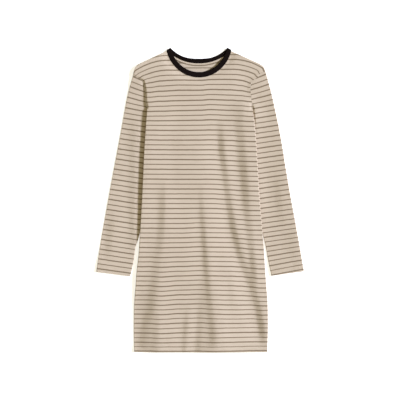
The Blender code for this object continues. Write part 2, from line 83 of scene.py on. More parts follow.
SLEEVE_OUTER = {
    "left": ((-198, 369), (-214.3, 309), (-236, 192), (-262.3, 51),
             (-291.8, -113), (-306.4, -209.5)),
    "right": ((191.5, 379), (210.3, 309), (235, 192), (258.3, 51),
              (288, -113), (304.3, -207.5)),
}
SLEEVE_INNER = {
    "left": ((-129, 228), (-131, 147), (-154, 29), (-178.5, -97),
             (-190.5, -137), (-197, -184), (-206, -222.5)),
    "right": ((126, 228), (129.5, 147), (153.5, 29), (182, -97),
              (191.5, -137), (200, -184), (208.5, -221.5)),
}

# The neckband's edges, sewn one and free one: half width, height of the neck points, depth of the scoop,
# the powers of its curve, heights in the middle and at the neck points, and the power between them
BandEdge = namedtuple("BandEdge", "half top depth powers heights height_power")
BAND_EDGES = {
    "front": (BandEdge(94.2, 439.6, 78.6, (2.1, 1.0 / 1.5), (6.9, 5.0), 4),
              BandEdge(81.5, 446.8, 69.8, (2.1, 1.0 / 1.5), (6.9, 5.0), 4)),
    "back": (BandEdge(94.2, 439.6, 36.7, (2.2, 1.0), (1.3, 1.8), 1.5),
             BandEdge(81.5, 446.8, 30.4, (2.7, 1.0), (5.5, 1.8), 1.5)),
}

# Heights of the layers
EDGE_WIDTH = 1.7
SIDE_EDGES = (1.3, 1.0)
EDGE_INSET = 0.8
CHEST_RISE = 7.6
MIDDLE_RISE = 8.4
MIDDLE_REACH = 70.0
RIGHT_FALL = 3.2
RIGHT_REACH = 190.0
ARMHOLE_FALL = 1.0
ARMHOLE_REACH = 90.0
HEM_FALL = 4.0
HEM_FALL_REACH = 80.0
HEM_FALL_HEIGHTS = (-210.0, -330.0)
SWELL_REACH = 110.0
SWELL_TOP = (240.0, 350.0)
SWELL_BOTTOM = (110.0, -220.0)
CALM_REACH = 30.0
TUCKED_TOP = 3.4
TUCK_MARGIN = 0.8
TUCK_WIDTH = 5.0
FOLD_MIDDLE = 1.5
FOLD_UNDER = 1.5
BACK_LIFT = 3.7
LIFT_MARGIN = 14.0
LIFT_SLOPE = 14.0
LIFT_TOP = (282.0, 318.0)
LIFT_BOTTOM = (-106.0, -165.0)

# Creases: a trough on the left of each path and a soft ridge on its right, uneven along it. Each has
# the depth and height of these, their reach, how much they spread and the lengths over which they fade
Crease = namedtuple("Crease", "trough ridge reach spread start end path")
FRONT_CREASES = {
    "long": Crease(2.8, 2.4, 12.0, 1.1, 120, 60, (
        (55, 262), (58.6, 205), (61.5, 146), (71, 88), (78, 29), (87, -29), (97, -88), (112, -146),
        (132, -205), (154, -264), (169, -322), (179, -381), (186, -440))),
    "side": Crease(3.4, 2.8, 19.0, 0.55, 150, 100, (
        (107, 330), (111, 264), (114, 205), (120, 146), (126, 88), (130, 29), (134.5, -29),
        (141.5, -88), (149, -146), (155, -205), (163, -285))),
    "middle": Crease(1.5, 1.3, 7.5, 1.8, 110, 60, (
        (-2, 60), (1, 0), (6, -73), (12, -152), (16, -205), (23, -264), (29, -322), (35, -381), (39, -452))),
    "left": Crease(1.5, 1.3, 10.5, 1.8, 110, 20, (
        (-105, 90), (-110, 29), (-113, -29), (-116, -88), (-124.5, -146), (-132, -205), (-140, -264),
        (-148, -322), (-163, -381), (-174, -445))),
    "left_low": Crease(0.8, 0.7, 11.0, 1.2, 70, 10, ((-122, -320), (-132, -381), (-136, -452))),
    "swell": Crease(0.0, 4.4, 30.0, 1.0, 90, 10, ((0, -190), (1, -264), (4, -322), (8, -381), (9, -452))),
    "hem_a": Crease(1.0, 0.9, 8.5, 1.1, 70, 6, ((2, -270), (-4, -360), (-9, -452))),
    "hem_b": Crease(1.0, 0.8, 7.5, 1.2, 80, 6, ((-38, -290), (-45, -381), (-49, -452))),
    "chest": Crease(0.4, 0.4, 12.0, 1.0, 60, 80, ((-78, 235), (-72, 140), (-68, 20))),
    "flank": Crease(0.6, 0.5, 9.0, 1.0, 60, 60, ((80, -190), (88, -265), (93, -335))),
}
SLEEVE_CREASES = {
    "left": {
        "upper": Crease(0.9, 0.7, 13.0, 1.0, 90, 60, (
            (-203, 280), (-202, 205), (-201, 88), (-202, -29), (-199, -100), (-196, -165))),
        "wrist": Crease(1.2, 1.1, 13.0, 1.0, 70, 10, ((-256, -10), (-268, -100), (-277, -215))),
    },
    "right": {
        "upper": Crease(0.8, 0.7, 13.0, 1.0, 90, 60, ((220, 130), (226, 29), (238, -88))),
        "wrist": Crease(0.6, 0.5, 11.0, 1.0, 60, 10, ((262, -60), (269, -140), (272, -215))),
    },
}
# The hidden sides lie on the surface, so their creases are ridges alone, as high as the room inside allows
BACK_CREASES = {
    "long": Crease(0.0, 3.0, 11.0, 1.4, 110, 60, (
        (-70, 250), (-76, 120), (-92, -20), (-112, -160), (-128, -300), (-134, -430))),
    "side": Crease(0.0, 2.4, 13.0, 0.9, 100, 90, ((98, 310), (92, 160), (84, 20), (90, -130), (106, -260))),
    "middle": Crease(0.0, 2.2, 9.0, 1.5, 120, 10, ((30, 40), (20, -90), (2, -210), (-14, -330), (-22, -452))),
    "hem_a": Crease(0.0, 1.6, 8.0, 1.3, 80, 8, ((112, -290), (124, -380), (130, -452))),
    "hem_b": Crease(0.0, 1.4, 7.0, 1.2, 70, 8, ((-66, -320), (-60, -390), (-57, -452))),
}
UNDER_CREASES = {
    "left": {"under": Crease(0.0, 1.8, 11.0, 1.3, 90, 40, (
        (-212, 250), (-222, 120), (-240, -20), (-262, -185)))},
    "right": {"under": Crease(0.0, 2.0, 11.0, 1.1, 80, 40, (
        (206, 260), (226, 110), (256, -50), (280, -190)))},
}
HIDDEN_ROOM = 0.15
LEAST_ROOM = 0.02
UNDER_FADE = 12.0
FLANK = 2.6
DEEPENING = 0.6
UNEVENNESS = 0.22
UNEVEN_LENGTH = 46.0
UNEVEN_SHIFT = 1.7

# Slow small waves that keep the cloth from lying like a board
RIPPLES = 9
RIPPLE_HEIGHT = 0.018
RIPPLE_LENGTHS = (30.0, 90.0)
RIPPLE_TURN = 0.35
RIPPLE_SEED = 7

# How a sleeve rises from the body's side to its own level, and the level of the armhole seam
SleeveRise = namedtuple("SleeveRise", "beside middle outer reach seam seam_fall")
SLEEVE_RISE = {
    "left": SleeveRise(3.9, 3.4, 3.0, 45.0, 2.4, 5.0),
    "right": SleeveRise(3.5, 3.0, 5.2, 28.0, 5.2, 8.0),
}
SLEEVE_CALM = 30.0
OUTER_REACH = 90.0
CUFF_LEVEL = 4.7
CUFF_FADE = 60.0
CAP_LEVEL = 7.2
CAP_HEIGHTS = {"left": (318.0, 362.0), "right": (262.0, 335.0)}
SHOULDER_SEAM = 6.0
LIFTED_SEAM = 0.85
SHOULDER_SEAM_HEIGHTS = (338.0, 362.0)
UNDER_ARM_Y = 258.0
UNDER_ARM_RISE = 2.6
UNDER_ARM_REACH = 36.0
UNDER_ARM_FADE = 45.0
FRONT_SEAM_FALL = {"left": 2.6, "right": 6.0}
SEAM_END_REACH = 14.0
SIDE_END_REACH = 5.0

# Seams, hems and stitches
NECK_BLEND = 15.0
HEM_WIDTH = 20.0
HEM_EXTRA = 0.9
HEM_STEP = 0.35
HEM_STEP_WIDTH = 2.5
HEM_EXTRA_WIDTH = 1.5
HEM_ROUND = 1.3
HEM_LIP = 0.8
BACK_LIP = 0.3
HEM_END_REACH = 30.0
CUFF_END_REACH = 20.0
STITCH_ROWS = (17.5, 21.5)
STITCH_PITCH = 2.9
STITCH_LENGTH = 2.3
STITCH_WIDTH = 0.5
STITCH_HEIGHT = 0.3
STITCH_LIFT = 0.08
STITCH_RINGS = ((-1.0, 0.30), (-0.7, 0.80), (-0.2, 1.0), (0.2, 1.0), (0.7, 0.80), (1.0, 0.30))
STITCH_SIDES = 6
HEM_MARGIN = 2.0
HEM_LINE_STEPS = 120
CUFF_LINE_STEPS = 40

# Neckband ribs, and the tape over the neck seam inside the back
RIB_PITCH = 2.3
RIB_RELIEF = 0.34
RIB_POWER = 0.8
RIB_PULL = 0.012
# The ribs are shallower up to the first of these shares of the band's width, and pull in from the second
RIB_ENDS = (0.05, 0.95)
RIB_SEWN_LOSS = 0.5
RIB_STEPS = 6
TURN_STATIONS = 12
BAND_WIDTH = 13.0
BAND_SHARES = (0.0, 0.06, 0.13, 0.25, 0.38, 0.50, 0.62, 0.75, 0.85, 0.92, 0.965, 0.99)
BAND_ROUND = 0.13
BAND_SEWN = 0.72
TAPE_WIDTH = 10.0
TAPE_WALL = 0.7
TAPE_EDGE = 0.25
TAPE_SHARES = (0.0, 0.04, 0.12, 0.25, 0.40, 0.55, 0.70, 0.80, 0.88, 0.96, 1.0)
TAPE_INSET = 2.0
# Where the stripe along the tape's lower edge lies; it is also painted shadow under that edge
TAPE_STRIPE_AND_SHADOW = 1.2
TAPE_GAP = 0.02
TAPE_ENDS = 3
TAPE_CROWN = 6

# Stripes: thick ones at whole phases and thin ones halfway
STRIPE_PERIOD = 28.6
THICK_WIDTH = 3.8
THIN_WIDTH = 3.0
# Heights of the body's numbered stripes, as number and height
BODY_STRIPES = ((-3, 439.5), (-2, 411.0), (-1, 381.8), (0, 352.2), (5, 205.7), (10, 61.8), (15, -80.0),
                (20, -219.8), (25, -358.6), (27, -415.5), (28, -441.3), (29, -468.0))
# How far the body's stripes hang below their height in the middle, at places across the front: each row
# has its own height first, and then the sag at those places
SAG_PLACES = (-150, -117, -59, 0, 29, 88, 117, 147, 176)
FRONT_SAG = (
    (352, 7.0, 2.6, -1.0, 0, -2.6, -2.3, 0.3, 7.0, 12.0),
    (294, 5.9, 3.2, 1.2, 0, -2.0, -0.3, 1.2, 4.1, 7.0),
    (264, 3.8, 3.2, 1.2, 0, -1.8, 0.3, 1.5, 3.8, 5.0),
    (206, 0.0, 0.6, 0.6, 0, -0.9, 0.6, 2.9, 3.8, 4.5),
    (119, -0.9, -0.6, -0.2, 0, -0.3, 2.6, 4.4, 5.6, 6.0),
    (5, -0.3, 0.0, 0.0, 0, 0.0, 2.6, 4.4, 5.9, 6.4),
    (-80, 1.5, 1.8, 1.8, 0, 0.6, 1.5, 4.7, 7.3, 7.3),
    (-164, 2.3, 3.5, 2.0, 0, 0.9, 1.8, 3.5, 6.7, 8.8),
    (-248, 2.6, 5.0, 1.5, 0, 1.2, 2.3, 3.8, 6.4, 9.4),
    (-331, 2.9, 3.8, 0.9, 0, 1.5, 3.5, 3.8, 3.2, 5.3),
    (-387, 2.0, 3.2, 1.2, 0, 1.2, 0.3, 0.0, 0.0, 0.3),
    (-441, 0.2, 0.6, 0.8, 0, 0.4, 0.0, -0.3, -1.0, -1.0),
)
SHOULDER_SAG = 0.0033
SHOULDER_SAG_START = 95.0
SHOULDER_SAG_LIFT = {"left": 0.0, "right": 2.5}
SHOULDER_LIFT_REACH = 60.0
SHOULDER_SAG_BLEND = (325.0, 380.0)
SEAM_SAG = 8.0
SEAM_SAG_REACH = 8.0
BACK_SAG = 7.0
BACK_SAG_BLEND = (235.0, 294.0)
# A sleeve's stripes along a line from top to end, as number and height, and their slope at heights
SleeveStripes = namedtuple("SleeveStripes", "top end heights slopes")
SLEEVE_STRIPES = {
    "left": SleeveStripes(
        Point(-187.5, 375), Point(-293, -211),
        ((-3, 421), (-1, 360), (0, 329.6), (5, 179.3), (10, 30.5), (15, -116.9), (18, -201.6), (20, -258.0)),
        ((375, 0.42), (329, 0.35), (299, 0.27), (270, 0.20), (240, 0.155), (-140, 0.15), (-211, 0.135))),
    "right": SleeveStripes(
        Point(183.1, 375), Point(293, -208),
        ((-2, 426), (0, 367.1), (5, 218.6), (10, 73.8), (15, -69.7), (20, -203.6), (22, -254.0)),
        ((375, 0.42), (337, 0.325), (308, 0.256), (277, 0.19), (218, 0.14), (-120, 0.14), (-204, 0.18))),
}

# Grids
SPLINE_STEPS = 8
STRAIGHT_STEPS = 12
NECK_SHARE = 0.19
NECK_END_PULL = 0.5
NECK_STEPS = 64
SHOULDER_STEPS = 24
SHOULDER_PULL = 1.85
BODY_ROW = 4.0
HEM_ROWS = (0.0, 0.2, 0.5, 0.9, 1.4, 2.4)
UNDER_ARM_STEPS = 15
ARMHOLE_STEPS = 34
ARMHOLE_PULL = 1.5
SLEEVE_STEPS = 160
SLEEVE_PARTS = 4
ARMHOLE_SHARES = (0.0, 0.015, 0.05, 0.11, 0.22, 0.40, 0.60, 0.80, 1.0)
HIDDEN_SHARES = (0.0, 0.38, 0.66, 0.86, 0.96, 1.0)
CUFF_SHARES = (0.0, 0.014, 0.045, 0.095, 0.18, 0.29, 0.41, 0.53, 0.65, 0.77, 0.87, 0.94, 0.984, 1.0)
CREASE_ANGLE = math.radians(50)

# Colours, in linear light
SAND = (0.612, 0.516, 0.420, 1.0)
SAND_DEEP = (0.548, 0.458, 0.366, 1.0)
STRIPE = (0.195, 0.148, 0.100, 1.0)
STRIPE_WORN = (0.260, 0.200, 0.140, 1.0)
BLACK = (0.0052, 0.0019, 0.0015, 1.0)
BLACK_WORN = (0.0115, 0.0070, 0.0064, 1.0)
THREAD = (0.560, 0.460, 0.360, 1.0)
THREAD_SCALE = 900.0
SAND_SHEEN = (0.95, 0.88, 0.78, 1.0)
BLACK_SHEEN = (0.60, 0.58, 0.60, 1.0)

# Knit of the jersey, the shade painted between its loops, and how uneven its stripes and colour are
WALE = 1.15
COURSE = 0.85
LOOP_LEAN = 1.1
LOOP_SHADE = 0.14
STRIPE_SOFTNESS = 0.3
STRIPE_RAGGED = 0.9
STRIPE_WANDER = 0.9
STRIPE_UNEVEN = 0.7
THIN_DEPTH = 0.97
# Whole stripes added so that no phase is under zero
STRIPES_BELOW = 100.0
KNIT_DEPTH = 0.00028
RIB_DEPTH = 0.00025
THREAD_DEPTH = 0.0001

# Floor, in metres
FLOOR = (0.88, 0.88, 0.88, 1.0)
FLOOR_GREY = (0.86, 0.86, 0.86, 1.0)
FLOOR_GLOW = 0.58
FLOOR_HALF = 30.0
FLOOR_Z = -0.0004

# Light and camera: the camera looks straight down on a square frame 1172 mm wide
KEY_STRENGTH = 5.94
KEY_COLOUR = (0.795, 0.84, 1.0)
KEY_SOFTNESS = 10.0
KEY_ELEVATION = 29.0
KEY_TURN = 12.0
FILL_STRENGTH = 0.45
FILL_COLOUR = (1.0, 0.91, 0.59, 1.0)
FRAME_WIDTH = 1.172
CAMERA_LENS = 100.0
CAMERA_SENSOR = 36.0
CLOTH_MIDDLE_Z = 0.010
FRAME_MIDDLE = (-0.00146, 0.00146)


def smooth(t):
    """Eased step from 0 to 1."""
    t = np.clip(t, 0.0, 1.0)
    return t * t * (3.0 - 2.0 * t)


def eased(value, ends):
    """Eased step from 0 at the first of two ends to 1 at the second."""
    return smooth((value - ends[0]) / (ends[1] - ends[0]))


def near(gap, reach):
    """1 at a line and inside it, easing to 0 at reach outside."""
    return 1.0 - smooth(gap / reach)


def bell(gap, reach):
    """Bell curve: 1 at a line, falling off on both sides."""
    return np.exp(-(gap / reach) ** 2)


def mixed(a, b, share):
    return a + (b - a) * share


def unit(vectors):
    return vectors / np.linalg.norm(vectors, axis=-1, keepdims=True)


def with_height(plan, z):
    """Plan points with their heights."""
    return np.concatenate([plan, z[..., None]], axis=-1)


def spline(points):
    """Smooth line through the points, as an array of x, y rows."""
    p = np.array(points, dtype=float)
    p = np.vstack([2 * p[0] - p[1], p, 2 * p[-1] - p[-2]])
    rows = []
    for i in range(1, len(p) - 2):
        for k in range(SPLINE_STEPS):
            t = k / SPLINE_STEPS
            rows.append(0.5 * (2 * p[i] + (p[i + 1] - p[i - 1]) * t
                               + (2 * p[i - 1] - 5 * p[i] + 4 * p[i + 1] - p[i + 2]) * t ** 2
                               + (3 * p[i] - p[i - 1] - 3 * p[i + 1] + p[i + 2]) * t ** 3))
    rows.append(p[-2])
    return np.array(rows)


def lengths(line):
    """Length along a line at each of its points."""
    steps = np.sqrt((np.diff(line, axis=0) ** 2).sum(axis=1))
    return np.concatenate([[0.0], np.cumsum(steps)])


def along(line, shares):
    """Points at shares of a line's length."""
    run = lengths(line)
    places = np.asarray(shares) * run[-1]
    return np.stack([np.interp(places, run, line[:, k]) for k in range(line.shape[1])], axis=-1)


def nearest(line, x, y):
    """Distance from points to a line, length along it at each foot, and 1 on its left or -1 on its right."""
    shape = np.shape(x)
    start, step = line[:-1], np.diff(line, axis=0)
    square = (step ** 2).sum(axis=1)
    px = np.ravel(x)[:, None] - start[:, 0]
    py = np.ravel(y)[:, None] - start[:, 1]
    t = np.clip((px * step[:, 0] + py * step[:, 1]) / square, 0.0, 1.0)
    gx, gy = px - t * step[:, 0], py - t * step[:, 1]
    gap = gx ** 2 + gy ** 2
    k = gap.argmin(axis=1)
    i = np.arange(len(k))
    run = lengths(line)[k] + t[i, k] * np.sqrt(square[k])
    hand = np.where(step[k, 0] * gy[i, k] - step[k, 1] * gx[i, k] >= 0, 1.0, -1.0)
    return np.sqrt(gap[i, k]).reshape(shape), run.reshape(shape), hand.reshape(shape)


def distance(line, x, y):
    return nearest(line, x, y)[0]


def pushed(line, shift):
    """The line moved sideways, to the left of its direction when shift is over zero."""
    d = unit(np.gradient(line, axis=0))
    return line + shift * np.stack([-d[:, 1], d[:, 0]], axis=1)


def band_edge(edge, u):
    """Points of one edge of the neckband at u, from -1 at the left neck point to 1 at the right one."""
    u = np.asarray(u, dtype=float)
    fall = np.maximum(0.0, 1.0 - np.abs(u) ** edge.powers[0]) ** edge.powers[1]
    plan = np.stack([NECK_MIDDLE_X + edge.half * u, edge.top - edge.depth * fall], axis=-1)
    return with_height(plan, mixed(edge.heights[1], edge.heights[0], 1 - np.abs(u) ** edge.height_power))


def band_edges(panel, u):
    """Sewn edge and free edge of the neckband on the front or back panel."""
    return [band_edge(edge, u) for edge in BAND_EDGES[panel]]


def neck_places(steps):
    """Places of the neckline's stations, from -1 to 1, closer together toward the neck points."""
    t = np.linspace(-1.0, 1.0, steps + 1)
    return NECK_END_PULL * np.sin(t * math.pi / 2) + (1.0 - NECK_END_PULL) * t


def neck_line(panel):
    """Neckline of a panel from left to right, set out from the band's sewn edge."""
    return pushed(band_edges(panel, neck_places(NECK_STEPS))[0][:, :2], -SEAM_GAP)


SIDE_LINES = {
    "left": spline([(left, y) for y, left, right in BODY_SIDES]),
    "right": spline([(right, y) for y, left, right in BODY_SIDES]),
}
INNER_LINES = {side: spline(SLEEVE_INNER[side]) for side in SLEEVE_INNER}
OUTER_LINES = {side: spline(SLEEVE_OUTER[side]) for side in SLEEVE_OUTER}
ARMHOLE_LINES = {side: spline(ARMHOLE[side]) for side in ARMHOLE}
CUFF_LINES = {side: np.array([OUTER_LINES[side][-1], INNER_LINES[side][-1]]) for side in ARMHOLE}
NECK_POINTS = {side: band_edges("front", u)[0][:2] for side, u in (("left", -1.0), ("right", 1.0))}


def shoulder_line(side):
    """Outline from the end of the armhole seam to the neck point."""
    turn = spline(SHOULDER_TURN[side])
    straight = np.linspace(turn[-1], NECK_POINTS[side], STRAIGHT_STEPS)[1:]
    return np.vstack([turn, straight])


SHOULDER_LINES = {side: shoulder_line(side) for side in ARMHOLE}
UPPER_EDGES = {side: np.vstack([SHOULDER_LINES[side][::-1], OUTER_LINES[side][1:]]) for side in ARMHOLE}
NECK_LINES = {panel: neck_line(panel) for panel in BAND_EDGES}


def side_x(side, y):
    line = SIDE_LINES[side]
    return np.interp(y, line[::-1, 1], line[::-1, 0])


def inner_x(side, y):
    """The tucked edge of a sleeve at heights, carried on upward past its top along the seam."""
    line = INNER_LINES[side]
    top, seam = Point(*line[0]), Point(*ARMHOLE[side][-1])
    above = top.x + (seam.x - top.x) * (y - top.y) / (seam.y - top.y)
    return np.where(y > top.y, above, np.interp(y, line[::-1, 1], line[::-1, 0]))


def rounded(gap, width):
    """Quarter-round profile: 0 at the edge, 1 from width inward."""
    t = 1.0 - np.clip(gap / width, 0.0, 1.0)
    return np.sqrt(np.maximum(0.0, 1.0 - t * t))


def side_edge(x):
    """Width over which a side fold of the body rounds off."""
    return np.where(x < NECK_MIDDLE_X, *SIDE_EDGES)


def least(lines, x, y):
    """Distance from points to the nearer of the two sides' lines."""
    return np.minimum(distance(lines["left"], x, y), distance(lines["right"], x, y))


def crease_height(creases, x, y):
    """Height that the creases add: a trough and a ridge beside each path, uneven along it."""
    height = np.zeros(np.shape(x))
    for number, crease in enumerate(creases.values()):
        line = spline(crease.path)
        gap, run, hand = nearest(line, x, y)
        total = lengths(line)[-1]
        fade = smooth(run / crease.start) * smooth((total - run) / crease.end)
        fade = fade * (1.0 + UNEVENNESS * np.sin(run / UNEVEN_LENGTH + number * UNEVEN_SHIFT))
        widening = 1.0 + (crease.spread - 1.0) * run / total
        across = gap * hand / (crease.reach * widening)
        trough = bell(across + 1.0, np.where(across < -1.0, FLANK, 1.0))
        ridge = bell(across - 1.0, np.where(across > 1.0, FLANK, 1.0))
        fade = fade * (1.0 + DEEPENING * (widening - 1.0))
        height += fade * (crease.ridge * ridge - crease.trough * trough)
    return height


def fitted(height, room):
    """A height eased down so that it stays under the room for it."""
    room = np.maximum(room - HIDDEN_ROOM, LEAST_ROOM)
    return height * room / (height + room)


def ripple_height(x, y):
    """Sum of slow small waves in seeded directions."""
    draw = np.random.default_rng(RIPPLE_SEED)
    height = np.zeros(np.shape(x))
    for _ in range(RIPPLES):
        wave = draw.uniform(*RIPPLE_LENGTHS)
        angle = draw.uniform(-RIPPLE_TURN, RIPPLE_TURN)
        shift = draw.uniform(0.0, 2 * math.pi)
        place = (np.cos(angle) * x + np.sin(angle) * y) * 2 * math.pi / wave
        height += RIPPLE_HEIGHT * wave / RIPPLE_LENGTHS[0] * np.sin(place + shift)
    return height


def back_bottom(x, y):
    """Height of the back panel's underside: on the surface, or on a tucked sleeve."""
    left = x < NECK_MIDDLE_X
    tucked = np.where(left, np.abs(inner_x("left", y)), np.abs(inner_x("right", y)))
    past = tucked - np.abs(x) - LIFT_MARGIN
    lifted = (1.0 - eased(y, LIFT_TOP)) * (1.0 - eased(y, LIFT_BOTTOM))
    return BACK_LIFT * lifted * near(past, LIFT_SLOPE)


def hem_lip(gap):
    """How far a turned edge rounds off, from 1 at its fold to 0."""
    return 1.0 - rounded(gap, HEM_ROUND)


def hem_step(gap):
    """How far the upper face steps up over a turned hem or cuff, and rounds off at its edge."""
    return HEM_STEP * near(gap - HEM_WIDTH, HEM_STEP_WIDTH) - HEM_LIP * hem_lip(gap)


def turned_in(gap):
    """How much the turned cloth thickens a hem or cuff at a distance from its edge."""
    return HEM_EXTRA * near(gap - HEM_WIDTH, HEM_EXTRA_WIDTH)


def body_turned_in(x, y):
    return turned_in(y - HEM_Y) * rounded(least(SIDE_LINES, x, y), HEM_END_REACH)


def seam_height(side, x, y):
    """Height at which the front and a sleeve meet along the armhole seam."""
    rule = SLEEVE_RISE[side]
    end = Point(*ARMHOLE[side][-1])
    from_end = np.hypot(x - end.x, y - end.y)
    rise = mixed(rule.seam, SHOULDER_SEAM, eased(y, SHOULDER_SEAM_HEIGHTS))
    rise = rise * (1.0 - LIFTED_SEAM * back_bottom(x, y) / BACK_LIFT)
    return back_bottom(x, y) + WALL + SEAM_GAP + rise * smooth(from_end / SEAM_END_REACH)


def front_swell(x, y):
    """How far the tucked sleeves raise the front, as a slow swell toward the sides."""
    inward = np.where(x < NECK_MIDDLE_X, x - side_x("left", y), side_x("right", y) - x)
    swollen = (1.0 - eased(y, SWELL_TOP)) * (1.0 - eased(y, SWELL_BOTTOM))
    return BACK_LIFT * swollen * near(inward, SWELL_REACH)


def front_top(x, y):
    """Height of the front panel's outer face."""
    base = back_bottom(x, y) + WALL + SEAM_GAP
    side_gap = least(SIDE_LINES, x, y)
    shoulder_gap = least(UPPER_EDGES, x, y)
    armhole_gap = least(ARMHOLE_LINES, x, y)
    neck_gap = distance(NECK_LINES["front"], x, y)
    inside = smooth(np.minimum(np.minimum(side_gap, shoulder_gap), armhole_gap) / MIDDLE_REACH)
    rise = mixed(CHEST_RISE, MIDDLE_RISE, inside)
    rise = rise - RIGHT_FALL * near(distance(SIDE_LINES["right"], x, y), RIGHT_REACH)
    rise = rise - ARMHOLE_FALL * near(distance(ARMHOLE_LINES["right"], x, y), ARMHOLE_REACH)
    hem_fall = HEM_FALL * near(distance(SIDE_LINES["left"], x, y), HEM_FALL_REACH)
    rise = rise - hem_fall * eased(y, HEM_FALL_HEIGHTS)
    calm = smooth(np.minimum(neck_gap, armhole_gap) / CALM_REACH)
    rise = rise + (crease_height(FRONT_CREASES, x, y) + ripple_height(x, y)) * calm
    rise = rise + front_swell(x, y) - back_bottom(x, y)
    u = np.clip((x - NECK_MIDDLE_X) / BAND_EDGES["front"][0].half, -1.0, 1.0)
    neck_height = band_edges("front", u)[0][..., 2] + WALL / 2 - base
    rise = mixed(rise, neck_height, bell(neck_gap, NECK_BLEND)) + hem_step(y - HEM_Y)
    z = base + rise * rounded(side_gap, side_edge(x)) * rounded(shoulder_gap, EDGE_WIDTH)
    for side in ("left", "right"):
        at_seam = bell(distance(ARMHOLE_LINES[side], x, y), FRONT_SEAM_FALL[side])
        at_seam = at_seam * rounded(shoulder_gap, EDGE_WIDTH)
        at_seam = at_seam * rounded(distance(SIDE_LINES[side], x, y), SIDE_END_REACH)
        z = mixed(z, seam_height(side, x, y), at_seam)
    return z


def beside_body(side, x, y):
    """Distance outward from the body's side edge, under zero where the body covers the point."""
    gap = distance(SIDE_LINES[side], x, y)
    covered = (y < SIDE_LINES[side][0, 1]) & (np.abs(x) < np.abs(side_x(side, y)))
    return np.where(covered, -gap, gap)


def sleeve_free(side, x, y):
    """Height of a sleeve's upper face clear of the body: beside it, in the middle and at the outer edge."""
    rule = SLEEVE_RISE[side]
    armhole_gap = distance(ARMHOLE_LINES[side], x, y)
    away = np.minimum(distance(SIDE_LINES[side], x, y), armhole_gap)
    free = mixed(rule.beside, rule.middle, smooth(away / rule.reach))
    free = free + (rule.outer - rule.middle) * smooth((away - rule.reach / 2) / OUTER_REACH)
    if side == "right":
        under_arm = bell(y - UNDER_ARM_Y, UNDER_ARM_REACH)
        free = free + UNDER_ARM_RISE * under_arm * near(away, UNDER_ARM_FADE)
    free = mixed(free, CAP_LEVEL, eased(y, CAP_HEIGHTS[side]))
    folds = crease_height(SLEEVE_CREASES[side], x, y) + ripple_height(x, y)
    free = free + folds * smooth(away / SLEEVE_CALM)
    return mixed(free, seam_height(side, x, y), bell(armhole_gap, rule.seam_fall))


def sleeve_top(side, x, y):
    """Height of a sleeve's upper outer face."""
    free = sleeve_free(side, x, y)
    cuff_gap = distance(CUFF_LINES[side], x, y)
    free = mixed(free, np.maximum(free, CUFF_LEVEL), near(cuff_gap - HEM_WIDTH, CUFF_FADE))
    free = free + hem_step(cuff_gap)
    out = smooth((beside_body(side, x, y) - TUCK_MARGIN) / TUCK_WIDTH)
    edge = rounded(distance(UPPER_EDGES[side], x, y), EDGE_WIDTH)
    edge = edge * rounded(distance(INNER_LINES[side], x, y), mixed(FOLD_UNDER, EDGE_WIDTH, out))
    return mixed(FOLD_MIDDLE, mixed(TUCKED_TOP, free, out), edge)


def fold_gap(side, x, y):
    """Distance from points to a sleeve's nearer fold edge."""
    return np.minimum(distance(UPPER_EDGES[side], x, y), distance(INNER_LINES[side], x, y))


def sleeve_bottom(side, x, y):
    """Height of a sleeve's lower outer face."""
    gap = fold_gap(side, x, y)
    low = FOLD_MIDDLE * (1.0 - rounded(gap, FOLD_UNDER))
    room = sleeve_top(side, x, y) - low - 2 * (WALL + turned_in(distance(CUFF_LINES[side], x, y)))
    ridges = fitted(crease_height(UNDER_CREASES[side], x, y), room)
    return low + ridges * smooth((gap - FOLD_UNDER) / UNDER_FADE)


def stripe_at(heights, y):
    """Stripe number at heights, from a table that runs downward."""
    numbers, places = zip(*heights[::-1])
    return np.interp(y, places, numbers)


def front_sag(x, y):
    """How far the front's stripes hang below their height in the middle."""
    rows = np.array(FRONT_SAG[::-1], dtype=float)
    table = rows[:, 1:]
    row_place = np.interp(y, rows[:, 0], np.arange(len(rows)))
    column_place = np.interp(x, SAG_PLACES, np.arange(len(SAG_PLACES)))
    i = np.clip(row_place.astype(int), 0, len(rows) - 2)
    j = np.clip(column_place.astype(int), 0, len(SAG_PLACES) - 2)
    a, b = smooth(row_place - i), smooth(column_place - j)
    return mixed(mixed(table[i, j], table[i, j + 1], b), mixed(table[i + 1, j], table[i + 1, j + 1], b), a)


def shoulder_sag(x, y):
    """The same where the front falls away toward the shoulders and the armhole seams."""
    sag = SHOULDER_SAG * np.maximum(0.0, np.abs(x) - SHOULDER_SAG_START) ** 2
    lift = np.where(x < NECK_MIDDLE_X, SHOULDER_SAG_LIFT["left"], SHOULDER_SAG_LIFT["right"])
    seam = SEAM_SAG * bell(least(ARMHOLE_LINES, x, y), SEAM_SAG_REACH)
    return sag - lift * smooth(np.abs(x) / SHOULDER_LIFT_REACH) + seam


def front_stripe(x, y):
    upper = eased(y, SHOULDER_SAG_BLEND)
    sag = front_sag(x, y) * (1 - upper) + shoulder_sag(x, y) * upper
    return stripe_at(BODY_STRIPES, y + sag)


def back_stripe(x, y):
    """The back's stripes run straight and meet the front's at the sides."""
    upper = eased(y, BACK_SAG_BLEND)
    low, high = front_sag(side_x("left", y), y), front_sag(side_x("right", y), y)
    share = np.clip((x - side_x("left", y)) / (side_x("right", y) - side_x("left", y)), 0.0, 1.0)
    sag = mixed(low, high, share) * (1 - upper) + BACK_SAG * upper
    return stripe_at(BODY_STRIPES, y + sag)


def sleeve_reference_x(side, y):
    """Where the line along which the sleeve's stripes were measured lies at heights."""
    rule = SLEEVE_STRIPES[side]
    return mixed(rule.top.x, rule.end.x, (y - rule.top.y) / (rule.end.y - rule.top.y))


def sleeve_stripe(side, x, y):
    rule = SLEEVE_STRIPES[side]
    slope = np.interp(y, *zip(*rule.slopes[::-1]))
    toward_body = (x - sleeve_reference_x(side, y)) * (1 if side == "left" else -1)
    return stripe_at(rule.heights, y + slope * toward_body)


